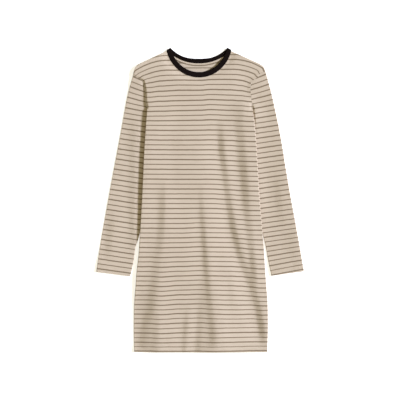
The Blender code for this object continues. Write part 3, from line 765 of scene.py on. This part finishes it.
def placed(name, data):
    """New object in the scene."""
    ob = bpy.data.objects.new(name, data)
    bpy.context.scene.collection.objects.link(ob)
    return ob


def mesh_piece(name, points, faces, material, attributes=None):
    """Smooth mesh object from points in millimetres, with its point attributes and material."""
    mesh = bpy.data.meshes.new(name)
    mesh.from_pydata((np.asarray(points) * MM).tolist(), [], faces)
    for key, values in (attributes or {}).items():
        layer = mesh.attributes.new(key, "FLOAT", "POINT")
        layer.data.foreach_set("value", np.asarray(values, dtype=np.float32).ravel())
    bm = bmesh.new()
    bm.from_mesh(mesh)
    bmesh.ops.recalc_face_normals(bm, faces=bm.faces)
    bm.to_mesh(mesh)
    bm.free()
    mesh.shade_smooth()
    mesh.set_sharp_from_angle(angle=CREASE_ANGLE)
    mesh.materials.append(material)
    return placed(name, mesh)


def grid_of(shape):
    """Numbers of a grid's points."""
    return np.arange(shape[0] * shape[1]).reshape(shape)


def ringed(index):
    """The grid of numbers with its first column again at the end."""
    return np.hstack([index, index[:, :1]])


def grid_quads(index):
    """Quads between the neighbouring rows and columns of a grid of numbers."""
    return np.stack([index[:-1, :-1], index[:-1, 1:], index[1:, 1:], index[1:, :-1]], axis=-1).reshape(-1, 4)


def shell_piece(name, upper, lower, quads, rims, material, attributes):
    """Closed wall between two grids of points, with the quads of one face and of the rims."""
    faces = np.concatenate([quads, quads[:, ::-1] + upper[..., 0].size, *rims]).tolist()
    points = np.concatenate([upper.reshape(-1, 3), lower.reshape(-1, 3)])
    return mesh_piece(name, points, faces, material, attributes)


def wall_piece(name, upper, lower, material, attributes):
    """Closed wall between two grids of points with the same rows and columns."""
    index = grid_of(upper.shape[:2])
    rim = np.concatenate([index[0, :], index[1:, -1], index[-1, -2::-1], index[-2:0:-1, 0]])
    after = np.roll(rim, -1)
    rims = [np.stack([after, rim, rim + index.size, after + index.size], axis=1)]
    return shell_piece(name, upper, lower, grid_quads(index), rims, material, attributes)


def tube_piece(name, outer, inner, material, attributes):
    """Open-ended tube wall between two stacks of closed rings."""
    index = grid_of(outer.shape[:2])
    ends = [(index[i], np.roll(index[i], -1)) for i in (0, -1)]
    rims = [np.stack([a, b, b + index.size, a + index.size], axis=1) for a, b in ends]
    return shell_piece(name, outer, inner, grid_quads(ringed(index)), rims, material, attributes)


def panel_plan(panel):
    """Plan points of a body panel: rows from the hem to the shoulders, columns from left to right."""
    shoulder = NECK_SHARE * np.linspace(0.0, 1.0, SHOULDER_STEPS + 1)[:-1] ** SHOULDER_PULL
    middle = NECK_SHARE + (neck_places(NECK_STEPS) + 1.0) / 2.0 * (1.0 - 2.0 * NECK_SHARE)
    shares = np.concatenate([shoulder, middle, 1.0 - shoulder[::-1]])
    top = np.concatenate([along(SHOULDER_LINES["left"], shoulder / NECK_SHARE), NECK_LINES[panel],
                          along(SHOULDER_LINES["right"], shoulder[::-1] / NECK_SHARE)])
    steps = int(round((SPLIT_Y - HEM_Y - HEM_ROWS[-1]) / BODY_ROW))
    heights = np.concatenate([HEM_Y + np.array(HEM_ROWS[:-1]),
                              np.linspace(HEM_Y + HEM_ROWS[-1], SPLIT_Y, steps + 1)])
    left, right = side_x("left", heights), side_x("right", heights)
    lower = np.stack([left[:, None] + (right - left)[:, None] * shares,
                      np.repeat(heights[:, None], len(shares), axis=1)], axis=-1)
    seam_shares = np.linspace(1.0, 0.0, ARMHOLE_STEPS + 1) ** ARMHOLE_PULL
    edges = {}
    for side in ("left", "right"):
        out = -SEAM_GAP / 2 if side == "right" else SEAM_GAP / 2
        seam = along(pushed(ARMHOLE_LINES[side], out), seam_shares)
        under = np.linspace(SPLIT_Y, seam[0, 1], UNDER_ARM_STEPS + 1)[1:-1]
        edges[side] = np.concatenate([np.stack([side_x(side, under), under], axis=1), seam])
    top[0], top[-1] = edges["left"][-1], edges["right"][-1]
    base = lower[-1]
    run = lengths(np.vstack([base[:1], edges["left"]]))
    v = (run[1:] / run[-1])[:, None]
    upper = (1 - v)[:, None] * base[None] + v[:, None] * top[None]
    for side, end, share in (("left", 0, shares), ("right", -1, 1.0 - shares)):
        bend = edges[side] - mixed(base[end], top[end], v)
        upper = upper + np.maximum(0.0, 1.0 - share / NECK_SHARE)[None, :, None] * bend[:, None]
    return np.concatenate([lower, upper])


def toward(points, axis, places):
    """Unit steps along a grid axis at each point, or back along it where places is under zero."""
    step = np.gradient(points, axis=axis)
    step /= np.maximum(np.sqrt((step ** 2).sum(axis=-1, keepdims=True)), 1e-9)
    return step * np.sign(places)[..., None]


def marks(stripe, wale, hem):
    """Point attributes of a wall's two faces: place along the stripes, across the wales and from the hem."""
    return {"stripe": [stripe, stripe], "wale": [wale, wale], "hem": [hem, hem]}


def make_front(material):
    plan = panel_plan("front")
    x, y = plan[..., 0], plan[..., 1]
    z = front_top(x, y)
    inward = np.broadcast_to(np.where(np.arange(x.shape[1]) < x.shape[1] / 2, 1.0, -1.0), x.shape)
    side_share = np.maximum(0.0, 1.0 - least(SIDE_LINES, x, y) / side_edge(x))
    upper_share = np.maximum(0.0, 1.0 - least(UPPER_EDGES, x, y) / EDGE_WIDTH)
    shift = toward(plan, 1, inward) * (EDGE_INSET * side_share)[..., None]
    shift = shift + toward(plan, 0, -np.ones_like(x)) * (EDGE_INSET * upper_share)[..., None]
    fall = WALL * (1.0 - np.maximum(side_share, upper_share)) + body_turned_in(x, y)
    lip = HEM_LIP * hem_lip(y - HEM_Y) * rounded(least(SIDE_LINES, x, y), EDGE_WIDTH)
    upper, lower = with_height(plan, z), with_height(plan + shift, z - fall + lip)
    return wall_piece("front_cloth", upper, lower, material, marks(front_stripe(x, y), x, y - HEM_Y))


def make_back(material):
    plan = panel_plan("back")
    x, y = plan[..., 0], plan[..., 1]
    wall = WALL + body_turned_in(x, y)
    z = back_bottom(x, y)
    z = z + fitted(crease_height(BACK_CREASES, x, y), front_top(x, y) - z - 2 * wall)
    lip = BACK_LIP * hem_lip(y - HEM_Y)
    upper, lower = with_height(plan, z + wall - lip), with_height(plan, z + lip)
    return wall_piece("back_cloth", upper, lower, material, marks(back_stripe(x, y), x, y - HEM_Y))


def sleeve_plan(side):
    """Plan points of a sleeve: rows from the armhole to the cuff, columns from outer to inner edge."""
    outer, inner = OUTER_LINES[side], INNER_LINES[side]
    seam_count = len(ARMHOLE_SHARES) - 1
    total = len(CUFF_SHARES) - 1
    places = np.linspace(0.0, total, total * SLEEVE_PARTS + 1)
    visible = places[places <= seam_count]
    hidden = places[places > seam_count]
    out = SEAM_GAP / 2 if side == "right" else -SEAM_GAP / 2
    seam = along(pushed(ARMHOLE_LINES[side], out),
                 np.interp(visible, np.arange(seam_count + 1), ARMHOLE_SHARES))
    covered = spline((ARMHOLE[side][-2], ARMHOLE[side][-1], Point(*inner[0])))[SPLINE_STEPS:]
    start = np.concatenate([seam, along(covered, np.interp(hidden - seam_count,
                                                           np.arange(len(HIDDEN_SHARES)), HIDDEN_SHARES))])
    start[0] = outer[0]
    shares = np.interp(places, np.arange(total + 1), CUFF_SHARES)[None, :, None]
    end = outer[-1] + (inner[-1] - outer[-1]) * shares[0]
    rows = np.linspace(0.0, 1.0, SLEEVE_STEPS + 1)
    cuff_rows = 1.0 - np.array(HEM_ROWS[:-1]) / lengths(outer)[-1]
    rows = np.unique(np.concatenate([rows[rows < cuff_rows.min()], cuff_rows]))
    v = rows[:, None, None]
    a, b = along(outer, rows)[:, None], along(inner, rows)[:, None]
    corners = (1 - v) * ((1 - shares) * start[0] + shares * start[-1])
    corners = corners + v * ((1 - shares) * end[0] + shares * end[-1])
    return (1 - v) * start[None] + v * end[None] + (1 - shares) * a + shares * b - corners


def inset_plan(plan):
    """The same rows for the inner face, with their ends one wall in from the fold edges."""
    moved = []
    for line in plan:
        run = lengths(line)
        total = run[-1]
        shift = np.maximum(0.0, 1.0 - run / EDGE_WIDTH) - np.maximum(0.0, 1.0 - (total - run) / EDGE_WIDTH)
        moved.append(along(line, (run + EDGE_INSET * shift) / total))
    return np.array(moved)


def sleeve_rings(side, plan, wall):
    """Rings of a sleeve: over the top from the outer edge to the inner one, and back underneath."""
    x, y = plan[..., 0], plan[..., 1]
    cuff_gap = distance(CUFF_LINES[side], x, y)
    edge = fold_gap(side, x, y)
    thick, lip = wall, 0.0
    if wall:
        thick = wall + turned_in(cuff_gap) * rounded(np.maximum(0.0, edge - WALL), CUFF_END_REACH)
        lip = HEM_LIP * hem_lip(cuff_gap) * rounded(edge, EDGE_WIDTH)
    top = sleeve_top(side, x, y) - thick + lip
    bottom = sleeve_bottom(side, x, y) + thick
    for k in (0, -1):
        top[:, k] = (top[:, k] + bottom[:, k]) / 2
    over, under = with_height(plan, top), with_height(plan, bottom)[:, -2:0:-1]
    return np.concatenate([over, under], axis=1)


def make_sleeve(side, material):
    plan = sleeve_plan(side)
    outer = sleeve_rings(side, plan, 0.0)
    inner = sleeve_rings(side, inset_plan(plan), WALL)
    both = np.stack([outer, inner])
    x, y = both[..., 0], both[..., 1]
    attributes = {"stripe": sleeve_stripe(side, x, y), "wale": x - sleeve_reference_x(side, y),
                  "hem": distance(CUFF_LINES[side], x, y)}
    return tube_piece("sleeve_" + side + "_cloth", outer, inner, material, attributes)


def band_turn(u, from_front):
    """Stations round a folded neck point, between the front layer and the back one."""
    high, low = band_edges("front", u), band_edges("back", u)
    fold = high[1] - high[0]
    out = unit(np.array([-fold[1], fold[0], 0.0]) * (-1 if u > 0 else 1))
    angles = np.linspace(math.pi / 2, -math.pi / 2, TURN_STATIONS + 2)[1:-1]
    if not from_front:
        angles = angles[::-1]
    edges = []
    for a, b in zip(high, low):
        radius, middle = (a[2] - b[2]) / 2, (a + b) / 2
        turn = np.cos(angles)[:, None] * out + np.sin(angles)[:, None] * np.array([0, 0, 1.0])
        edges.append(middle + radius * turn)
    return edges


def even_stations(seam, free, count):
    """The two edges of a closed band at even steps along its middle line."""
    seam, free = (np.vstack([e, e[:1]]) for e in (seam, free))
    run = lengths((seam + free) / 2)
    places = np.linspace(0.0, run[-1], count + 1)[:-1]
    return [np.stack([np.interp(places, run, e[:, k]) for k in range(3)], axis=1) for e in (seam, free)]


def band_section():
    """Section of the folded rib: share of its width and of half its wall, round the free edge and back."""
    across = np.array(BAND_SHARES)
    height = rounded(1.0 - across, BAND_ROUND) * mixed(BAND_SEWN, 1.0, smooth(across / BAND_ROUND))
    above = np.stack([across, height], axis=1)
    return np.concatenate([above, [(1.0, 0.0)], above[::-1] * (1.0, -1.0)])


def make_band(material):
    u = neck_places(NECK_STEPS * 2)
    front, back = band_edges("front", u), band_edges("back", u[::-1])
    right, left = band_turn(1.0, True), band_turn(-1.0, False)
    seam, free = (np.concatenate([front[k], right[k], back[k], left[k]]) for k in (0, 1))
    middle = np.vstack([(seam + free) / 2, (seam[:1] + free[:1]) / 2])
    ribs = int(round(lengths(middle)[-1] / RIB_PITCH))
    count = ribs * RIB_STEPS
    seam, free = even_stations(seam, free, count)
    tangent = np.roll(seam + free, -1, axis=0) - np.roll(seam + free, 1, axis=0)
    normal = unit(np.cross(tangent, free - seam))
    section = band_section()
    turn = 2 * math.pi * np.arange(count) / RIB_STEPS
    relief = RIB_RELIEF * (0.5 + 0.5 * np.cos(turn)) ** RIB_POWER
    share, height = section[:, 0], section[:, 1]
    lift = height[None, :] * (BAND_WALL / 2 - relief[:, None] * (1.0 - RIB_SEWN_LOSS * (share < RIB_ENDS[0])))
    width = share[None, :, None] * (free - seam)[:, None, :]
    pull = 1.0 - RIB_PULL * (1.0 - np.cos(turn))[:, None, None] * (share[None, :, None] > RIB_ENDS[1])
    points = seam[:, None, :] + width * pull + lift[..., None] * normal[:, None, :]
    around = len(section)
    index = grid_of((count, around))
    side, ahead = np.roll(index, -1, axis=1), np.roll(index, -1, axis=0)
    faces = np.stack([index, ahead, np.roll(ahead, -1, axis=1), side], axis=-1).reshape(-1, 4).tolist()
    length = np.arange(count) * RIB_PITCH / RIB_STEPS
    along_band = np.repeat(length[:, None], around, axis=1)
    across_band = np.repeat(share[None, :], count, axis=0) * BAND_WIDTH
    return mesh_piece("neckband_rib", points.reshape(-1, 3), faces, material,
                      {"wale": along_band, "hem": across_band})


def make_tape(material):
    """Narrow tape of the same jersey over the neck seam inside the back, with a stripe along its lower edge
    that also paints the shadow at that edge.
    """
    u = neck_places(NECK_STEPS * 2)[TAPE_ENDS:-TAPE_ENDS]
    seam = pushed(band_edges("back", u)[0][:, :2], TAPE_INSET)
    shares = np.array(TAPE_SHARES)
    plan = np.stack([pushed(seam, -TAPE_WIDTH * s) for s in shares])
    x, y = plan[..., 0], plan[..., 1]
    crown = np.sqrt(np.maximum(0.0, 1.0 - (2 * np.abs(shares - 0.5)) ** TAPE_CROWN))[:, None]
    rest = back_bottom(x, y) + WALL
    upper = with_height(plan, rest + TAPE_WALL * mixed(TAPE_EDGE, 1.0, crown))
    lower = with_height(plan, rest + TAPE_GAP)
    # A jersey stripe along the tape's lower edge, dark also as painted shadow at that edge
    stripe = (shares[:, None] * TAPE_WIDTH - TAPE_WIDTH + TAPE_STRIPE_AND_SHADOW) / STRIPE_PERIOD + 0 * x
    return wall_piece("neck_tape", upper, lower, material, marks(stripe, x, np.full(x.shape, 2 * HEM_WIDTH)))


def stitch_rows(name, lines, height, material):
    """Joined small stitches along lines on an upper face given by its height."""
    centres, steps = [], []
    for line in lines:
        run = lengths(line)[-1]
        count = int(run / STITCH_PITCH)
        shares = (np.arange(count) + 0.5) / count
        ahead = 0.5 * STITCH_LENGTH / run
        a, b = (with_height(p, height(p[:, 0], p[:, 1]))
                for p in (along(line, shares - ahead), along(line, shares + ahead)))
        centres.append((a + b) / 2)
        steps.append((b - a) / 2)
    centre, step = np.concatenate(centres), np.concatenate(steps)
    across = unit(np.cross([0.0, 0.0, 1.0], step))
    normal = unit(np.cross(step, across))
    angle = 2 * math.pi * np.arange(STITCH_SIDES) / STITCH_SIDES
    rings = []
    for place, size in STITCH_RINGS:
        ring = centre[:, None] + place * step[:, None]
        ring = ring + size * STITCH_WIDTH / 2 * np.cos(angle)[None, :, None] * across[:, None]
        lift = size * STITCH_HEIGHT / 2 * np.sin(angle) + STITCH_LIFT
        rings.append(ring + lift[None, :, None] * normal[:, None])
    points = np.stack(rings, axis=1)
    each = len(STITCH_RINGS) * STITCH_SIDES
    faces = grid_quads(ringed(grid_of((len(STITCH_RINGS), STITCH_SIDES)))).tolist()
    faces += [range(STITCH_SIDES - 1, -1, -1), range(each - STITCH_SIDES, each)]
    every = [tuple(k + n * each for k in face) for n in range(len(centre)) for face in faces]
    return mesh_piece(name, points.reshape(-1, 3), every, material)


def hem_lines():
    """Rows of twin stitches across the front's hem."""
    lines = []
    for gap in STITCH_ROWS:
        y = HEM_Y + gap
        left, right = side_x("left", y) + HEM_MARGIN, side_x("right", y) - HEM_MARGIN
        x = np.linspace(left, right, HEM_LINE_STEPS)
        lines.append(np.stack([x, np.full(len(x), y)], axis=1))
    return lines


def cuff_lines(side):
    """Rows of twin stitches across the upper side of a cuff."""
    outer, inner = OUTER_LINES[side], INNER_LINES[side]
    lines = []
    for gap in STITCH_ROWS:
        a = along(outer, 1.0 - gap / lengths(outer)[-1])
        b = along(inner, 1.0 - gap / lengths(inner)[-1])
        lines.append(np.linspace(a, b, CUFF_LINE_STEPS)[1:-1])
    return lines


class Tree:
    """Short way to add nodes to a material's tree."""

    def __init__(self, name):
        self.material = bpy.data.materials.new(name)
        self.material.use_nodes = True
        self.nodes = self.material.node_tree.nodes
        self.links = self.material.node_tree.links
        self.shader = self.nodes["Principled BSDF"]

    def put(self, node, key, value):
        if isinstance(value, bpy.types.NodeSocket):
            self.links.new(value, node.inputs[key])
        else:
            node.inputs[key].default_value = value

    def add(self, kind, values, output=0, **settings):
        """New node with its settings and input values, as its output's socket."""
        node = self.nodes.new("ShaderNode" + kind)
        for key, value in settings.items():
            setattr(node, key, value)
        for key, value in values.items():
            self.put(node, key, value)
        return node.outputs[output]

    def math(self, operation, *values):
        return self.add("Math", dict(enumerate(values)), operation=operation)

    def point_value(self, name):
        return self.add("Attribute", {}, "Fac", attribute_name=name)

    def object_place(self):
        return self.add("TexCoord", {}, "Object")

    def combine(self, x, y):
        return self.add("CombineXYZ", {"X": x, "Y": y})

    def noise(self, vector, scale, detail=2.0, roughness=0.5):
        values = {"Vector": vector, "Scale": scale, "Detail": detail, "Roughness": roughness}
        return self.add("TexNoise", values, "Fac")

    def span(self, value, low, high, to_low=0.0, to_high=1.0):
        values = {"Value": value, "From Min": low, "From Max": high, "To Min": to_low, "To Max": to_high}
        return self.add("MapRange", values, "Result", interpolation_type="SMOOTHSTEP")

    def blend(self, share, a, b):
        return self.add("Mix", {0: share, 6: a, 7: b}, 2, data_type="RGBA")

    def surface(self, colour, roughness, specular, sheen, sheen_roughness, sheen_tint):
        """Set the shader's sockets for cloth."""
        for key, value in (("Base Color", colour), ("Roughness", roughness), ("Specular IOR Level", specular),
                           ("Sheen Weight", sheen), ("Sheen Roughness", sheen_roughness),
                           ("Sheen Tint", sheen_tint)):
            self.put(self.shader, key, value)

    def bump(self, height, strength, reach):
        normal = self.add("Bump", {"Height": height, "Strength": strength, "Distance": reach})
        self.put(self.shader, "Normal", normal)


def knit(tree, wale, course):
    """Height of rows of V-shaped loops, from 0 to 1, and how far each loop leans along the course."""
    lean = tree.math("PINGPONG", wale, 0.5)
    row = tree.math("FRACT", tree.math("MULTIPLY_ADD", lean, LOOP_LEAN, course))
    loop = tree.math("SINE", tree.math("MULTIPLY", row, math.pi))
    leg = tree.math("FRACT", tree.math("MULTIPLY", wale, 2.0))
    body = tree.math("SINE", tree.math("MULTIPLY", leg, math.pi))
    body = tree.span(body, 0.0, 0.9, 0.15, 1.0)
    return tree.math("MULTIPLY", loop, body), lean


def jersey_material():
    """Striped cotton jersey: thick and thin stripes in turn, worked into the rows of its loops, with shade
    painted where the loops dip.
    """
    tree = Tree("striped_jersey")
    stripe, wale, hem = (tree.point_value(name) for name in ("stripe", "wale", "hem"))
    along_cloth = tree.math("MULTIPLY", stripe, STRIPE_PERIOD)
    place = tree.combine(wale, along_cloth)
    loops, lean = knit(tree, tree.math("DIVIDE", wale, WALE), tree.math("DIVIDE", along_cloth, COURSE))
    wander = tree.math("MULTIPLY_ADD", tree.noise(place, 0.05, 1.0), STRIPE_WANDER, -STRIPE_WANDER / 2)
    ragged = tree.math("MULTIPLY_ADD", lean, STRIPE_RAGGED, wander)
    ragged = tree.math("MULTIPLY_ADD", ragged, 1.0 / STRIPE_PERIOD, stripe)
    uneven = tree.math("MULTIPLY_ADD", tree.noise(place, 0.35, 2.0), STRIPE_UNEVEN, -STRIPE_UNEVEN / 2)
    worn = tree.noise(tree.combine(tree.math("MULTIPLY", wale, 0.35), along_cloth), 1.1, 3.0)
    masks = []
    for shift, width, depth in ((0.5, THICK_WIDTH, 1.0), (0.0, THIN_WIDTH, THIN_DEPTH)):
        fraction = tree.math("FRACT", tree.math("ADD", ragged, shift + STRIPES_BELOW))
        gap = tree.math("ABSOLUTE", tree.math("SUBTRACT", fraction, 0.5))
        gap = tree.math("MULTIPLY_ADD", gap, STRIPE_PERIOD, uneven)
        half = width / 2
        masks.append(tree.span(gap, half - STRIPE_SOFTNESS, half + STRIPE_SOFTNESS, depth, 0.0))
    mask = tree.math("MAXIMUM", *masks)
    ground = tree.blend(tree.span(tree.noise(place, 0.02, 3.0, 0.6), 0.3, 0.7, 0.0, 0.3), SAND, SAND_DEEP)
    fleck = tree.noise(tree.combine(tree.math("MULTIPLY", wale, 0.5), along_cloth), 2.4, 2.0)
    ground = tree.blend(tree.span(fleck, 0.35, 0.75, 0.0, 0.45), ground, SAND_DEEP)
    yarn = tree.blend(tree.span(worn, 0.35, 0.7), STRIPE, STRIPE_WORN)
    colour = tree.blend(mask, ground, yarn)
    # Painted shade: the colour darkens toward the stripe colour where the loops dip, in the hollows between
    # them
    painted_loop_shade = tree.math("MULTIPLY_ADD", loops, -LOOP_SHADE, LOOP_SHADE)
    colour = tree.blend(painted_loop_shade, colour, tree.blend(0.55, colour, STRIPE))
    tree.surface(colour, tree.span(worn, 0.2, 0.8, 0.82, 0.94), 0.25, 0.22, 0.45, SAND_SHEEN)
    rows = []
    for gap in STITCH_ROWS:
        away = tree.math("ABSOLUTE", tree.math("SUBTRACT", hem, gap))
        rows.append(tree.span(away, 0.3, 1.3, 1.0, 0.0))
    groove = tree.math("MAXIMUM", *rows)
    fuzz = tree.noise(place, 3.1, 2.0)
    height = tree.math("MULTIPLY_ADD", fuzz, 0.35, loops)
    height = tree.math("MULTIPLY_ADD", groove, -1.2, height)
    tree.bump(height, 0.55, KNIT_DEPTH)
    return tree.material


def rib_material():
    """Black rib: fine rows of loops across raised ribs, with a little lint and dust in soft patches."""
    tree = Tree("black_rib")
    length, across = tree.point_value("wale"), tree.point_value("hem")
    place = tree.combine(length, across)
    loops, _ = knit(tree, tree.math("DIVIDE", length, RIB_PITCH), tree.math("DIVIDE", across, COURSE))
    soft = tree.noise(place, 0.12, 3.0)
    lint = tree.noise(place, 2.2, 3.0)
    worn = tree.math("MULTIPLY", tree.span(lint, 0.5, 0.8), tree.span(soft, 0.3, 0.7, 0.4, 1.0))
    roughness = tree.span(soft, 0.2, 0.8, 0.78, 0.92)
    tree.surface(tree.blend(worn, BLACK, BLACK_WORN), roughness, 0.10, 0.03, 0.35, BLACK_SHEEN)
    tree.bump(tree.math("MULTIPLY_ADD", lint, 0.4, loops), 0.6, RIB_DEPTH)
    return tree.material


def thread_material():
    """Sewing thread in the colour of the ground, with its twist."""
    tree = Tree("sand_thread")
    twist = {"Vector": tree.object_place(), "Scale": THREAD_SCALE, "Distortion": 0.5}
    tone = tree.add("TexWave", twist, "Fac", bands_direction="DIAGONAL")
    tree.put(tree.shader, "Base Color", tree.blend(tone, SAND_DEEP, THREAD))
    tree.put(tree.shader, "Roughness", tree.span(tone, 0.0, 1.0, 0.7, 0.55))
    tree.put(tree.shader, "Sheen Weight", 0.2)
    tree.bump(tone, 0.5, THREAD_DEPTH)
    return tree.material


def floor_material():
    """Plain white surface, a little lit from within as a studio table is."""
    tree = Tree("pale_floor")
    grain = tree.noise(tree.object_place(), 6.0, 3.0)
    tree.put(tree.shader, "Base Color", tree.blend(tree.span(grain, 0.3, 0.7), FLOOR, FLOOR_GREY))
    tree.put(tree.shader, "Roughness", 0.9)
    tree.put(tree.shader, "Emission Color", (1.0, 1.0, 1.0, 1.0))
    tree.put(tree.shader, "Emission Strength", FLOOR_GLOW)
    return tree.material


def make_floor():
    mesh = bpy.data.meshes.new("floor")
    corners = [(x * FLOOR_HALF, y * FLOOR_HALF, FLOOR_Z) for x, y in ((-1, -1), (1, -1), (1, 1), (-1, 1))]
    mesh.from_pydata(corners, [], [(0, 1, 2, 3)])
    mesh.materials.append(floor_material())
    floor = placed("floor", mesh)


def make_lights():
    """Low soft light from the right, which shades the creases and the body's left edge, and a wide fill."""
    key = bpy.data.lights.new("key", "SUN")
    key.energy = KEY_STRENGTH
    key.color = KEY_COLOUR
    key.angle = math.radians(KEY_SOFTNESS)
    lamp = placed("key", key)
    lamp.rotation_euler = (0.0, math.radians(90.0 - KEY_ELEVATION), math.radians(KEY_TURN))
    world = bpy.data.worlds.new("studio")
    world.use_nodes = True
    background = world.node_tree.nodes["Background"]
    background.inputs["Color"].default_value = FILL_COLOUR
    background.inputs["Strength"].default_value = FILL_STRENGTH
    bpy.context.scene.world = world
    bpy.context.scene.view_settings.view_transform = "Standard"


def make_camera():
    data = bpy.data.cameras.new("camera")
    data.lens = CAMERA_LENS
    data.sensor_width = CAMERA_SENSOR
    camera = placed("camera", data)
    camera.location = (*FRAME_MIDDLE, CLOTH_MIDDLE_Z + FRAME_WIDTH * CAMERA_LENS / CAMERA_SENSOR)
    bpy.context.scene.camera = camera


def main():
    jersey, rib, thread = jersey_material(), rib_material(), thread_material()
    front = make_front(jersey)
    back = make_back(jersey)
    sleeves = {side: make_sleeve(side, jersey) for side in ("left", "right")}
    band = make_band(rib)
    tape = make_tape(jersey)
    hem = stitch_rows("hem_stitches", hem_lines(), front_top, thread)
    cuffs = {side: stitch_rows("cuff_stitches_" + side, cuff_lines(side),
                               lambda x, y, side=side: sleeve_top(side, x, y), thread)
             for side in ("left", "right")}
    for piece, node in ((front, "front"), (back, "back"), (band, "neckband"),
                        (sleeves["left"], "sleeve_left"), (sleeves["right"], "sleeve_right")):
        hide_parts(node)
    for piece in (front, back, *sleeves.values(), band, tape, hem, *cuffs.values()):
        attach(piece, "root")
    make_floor()
    make_lights()
    make_camera()


main()
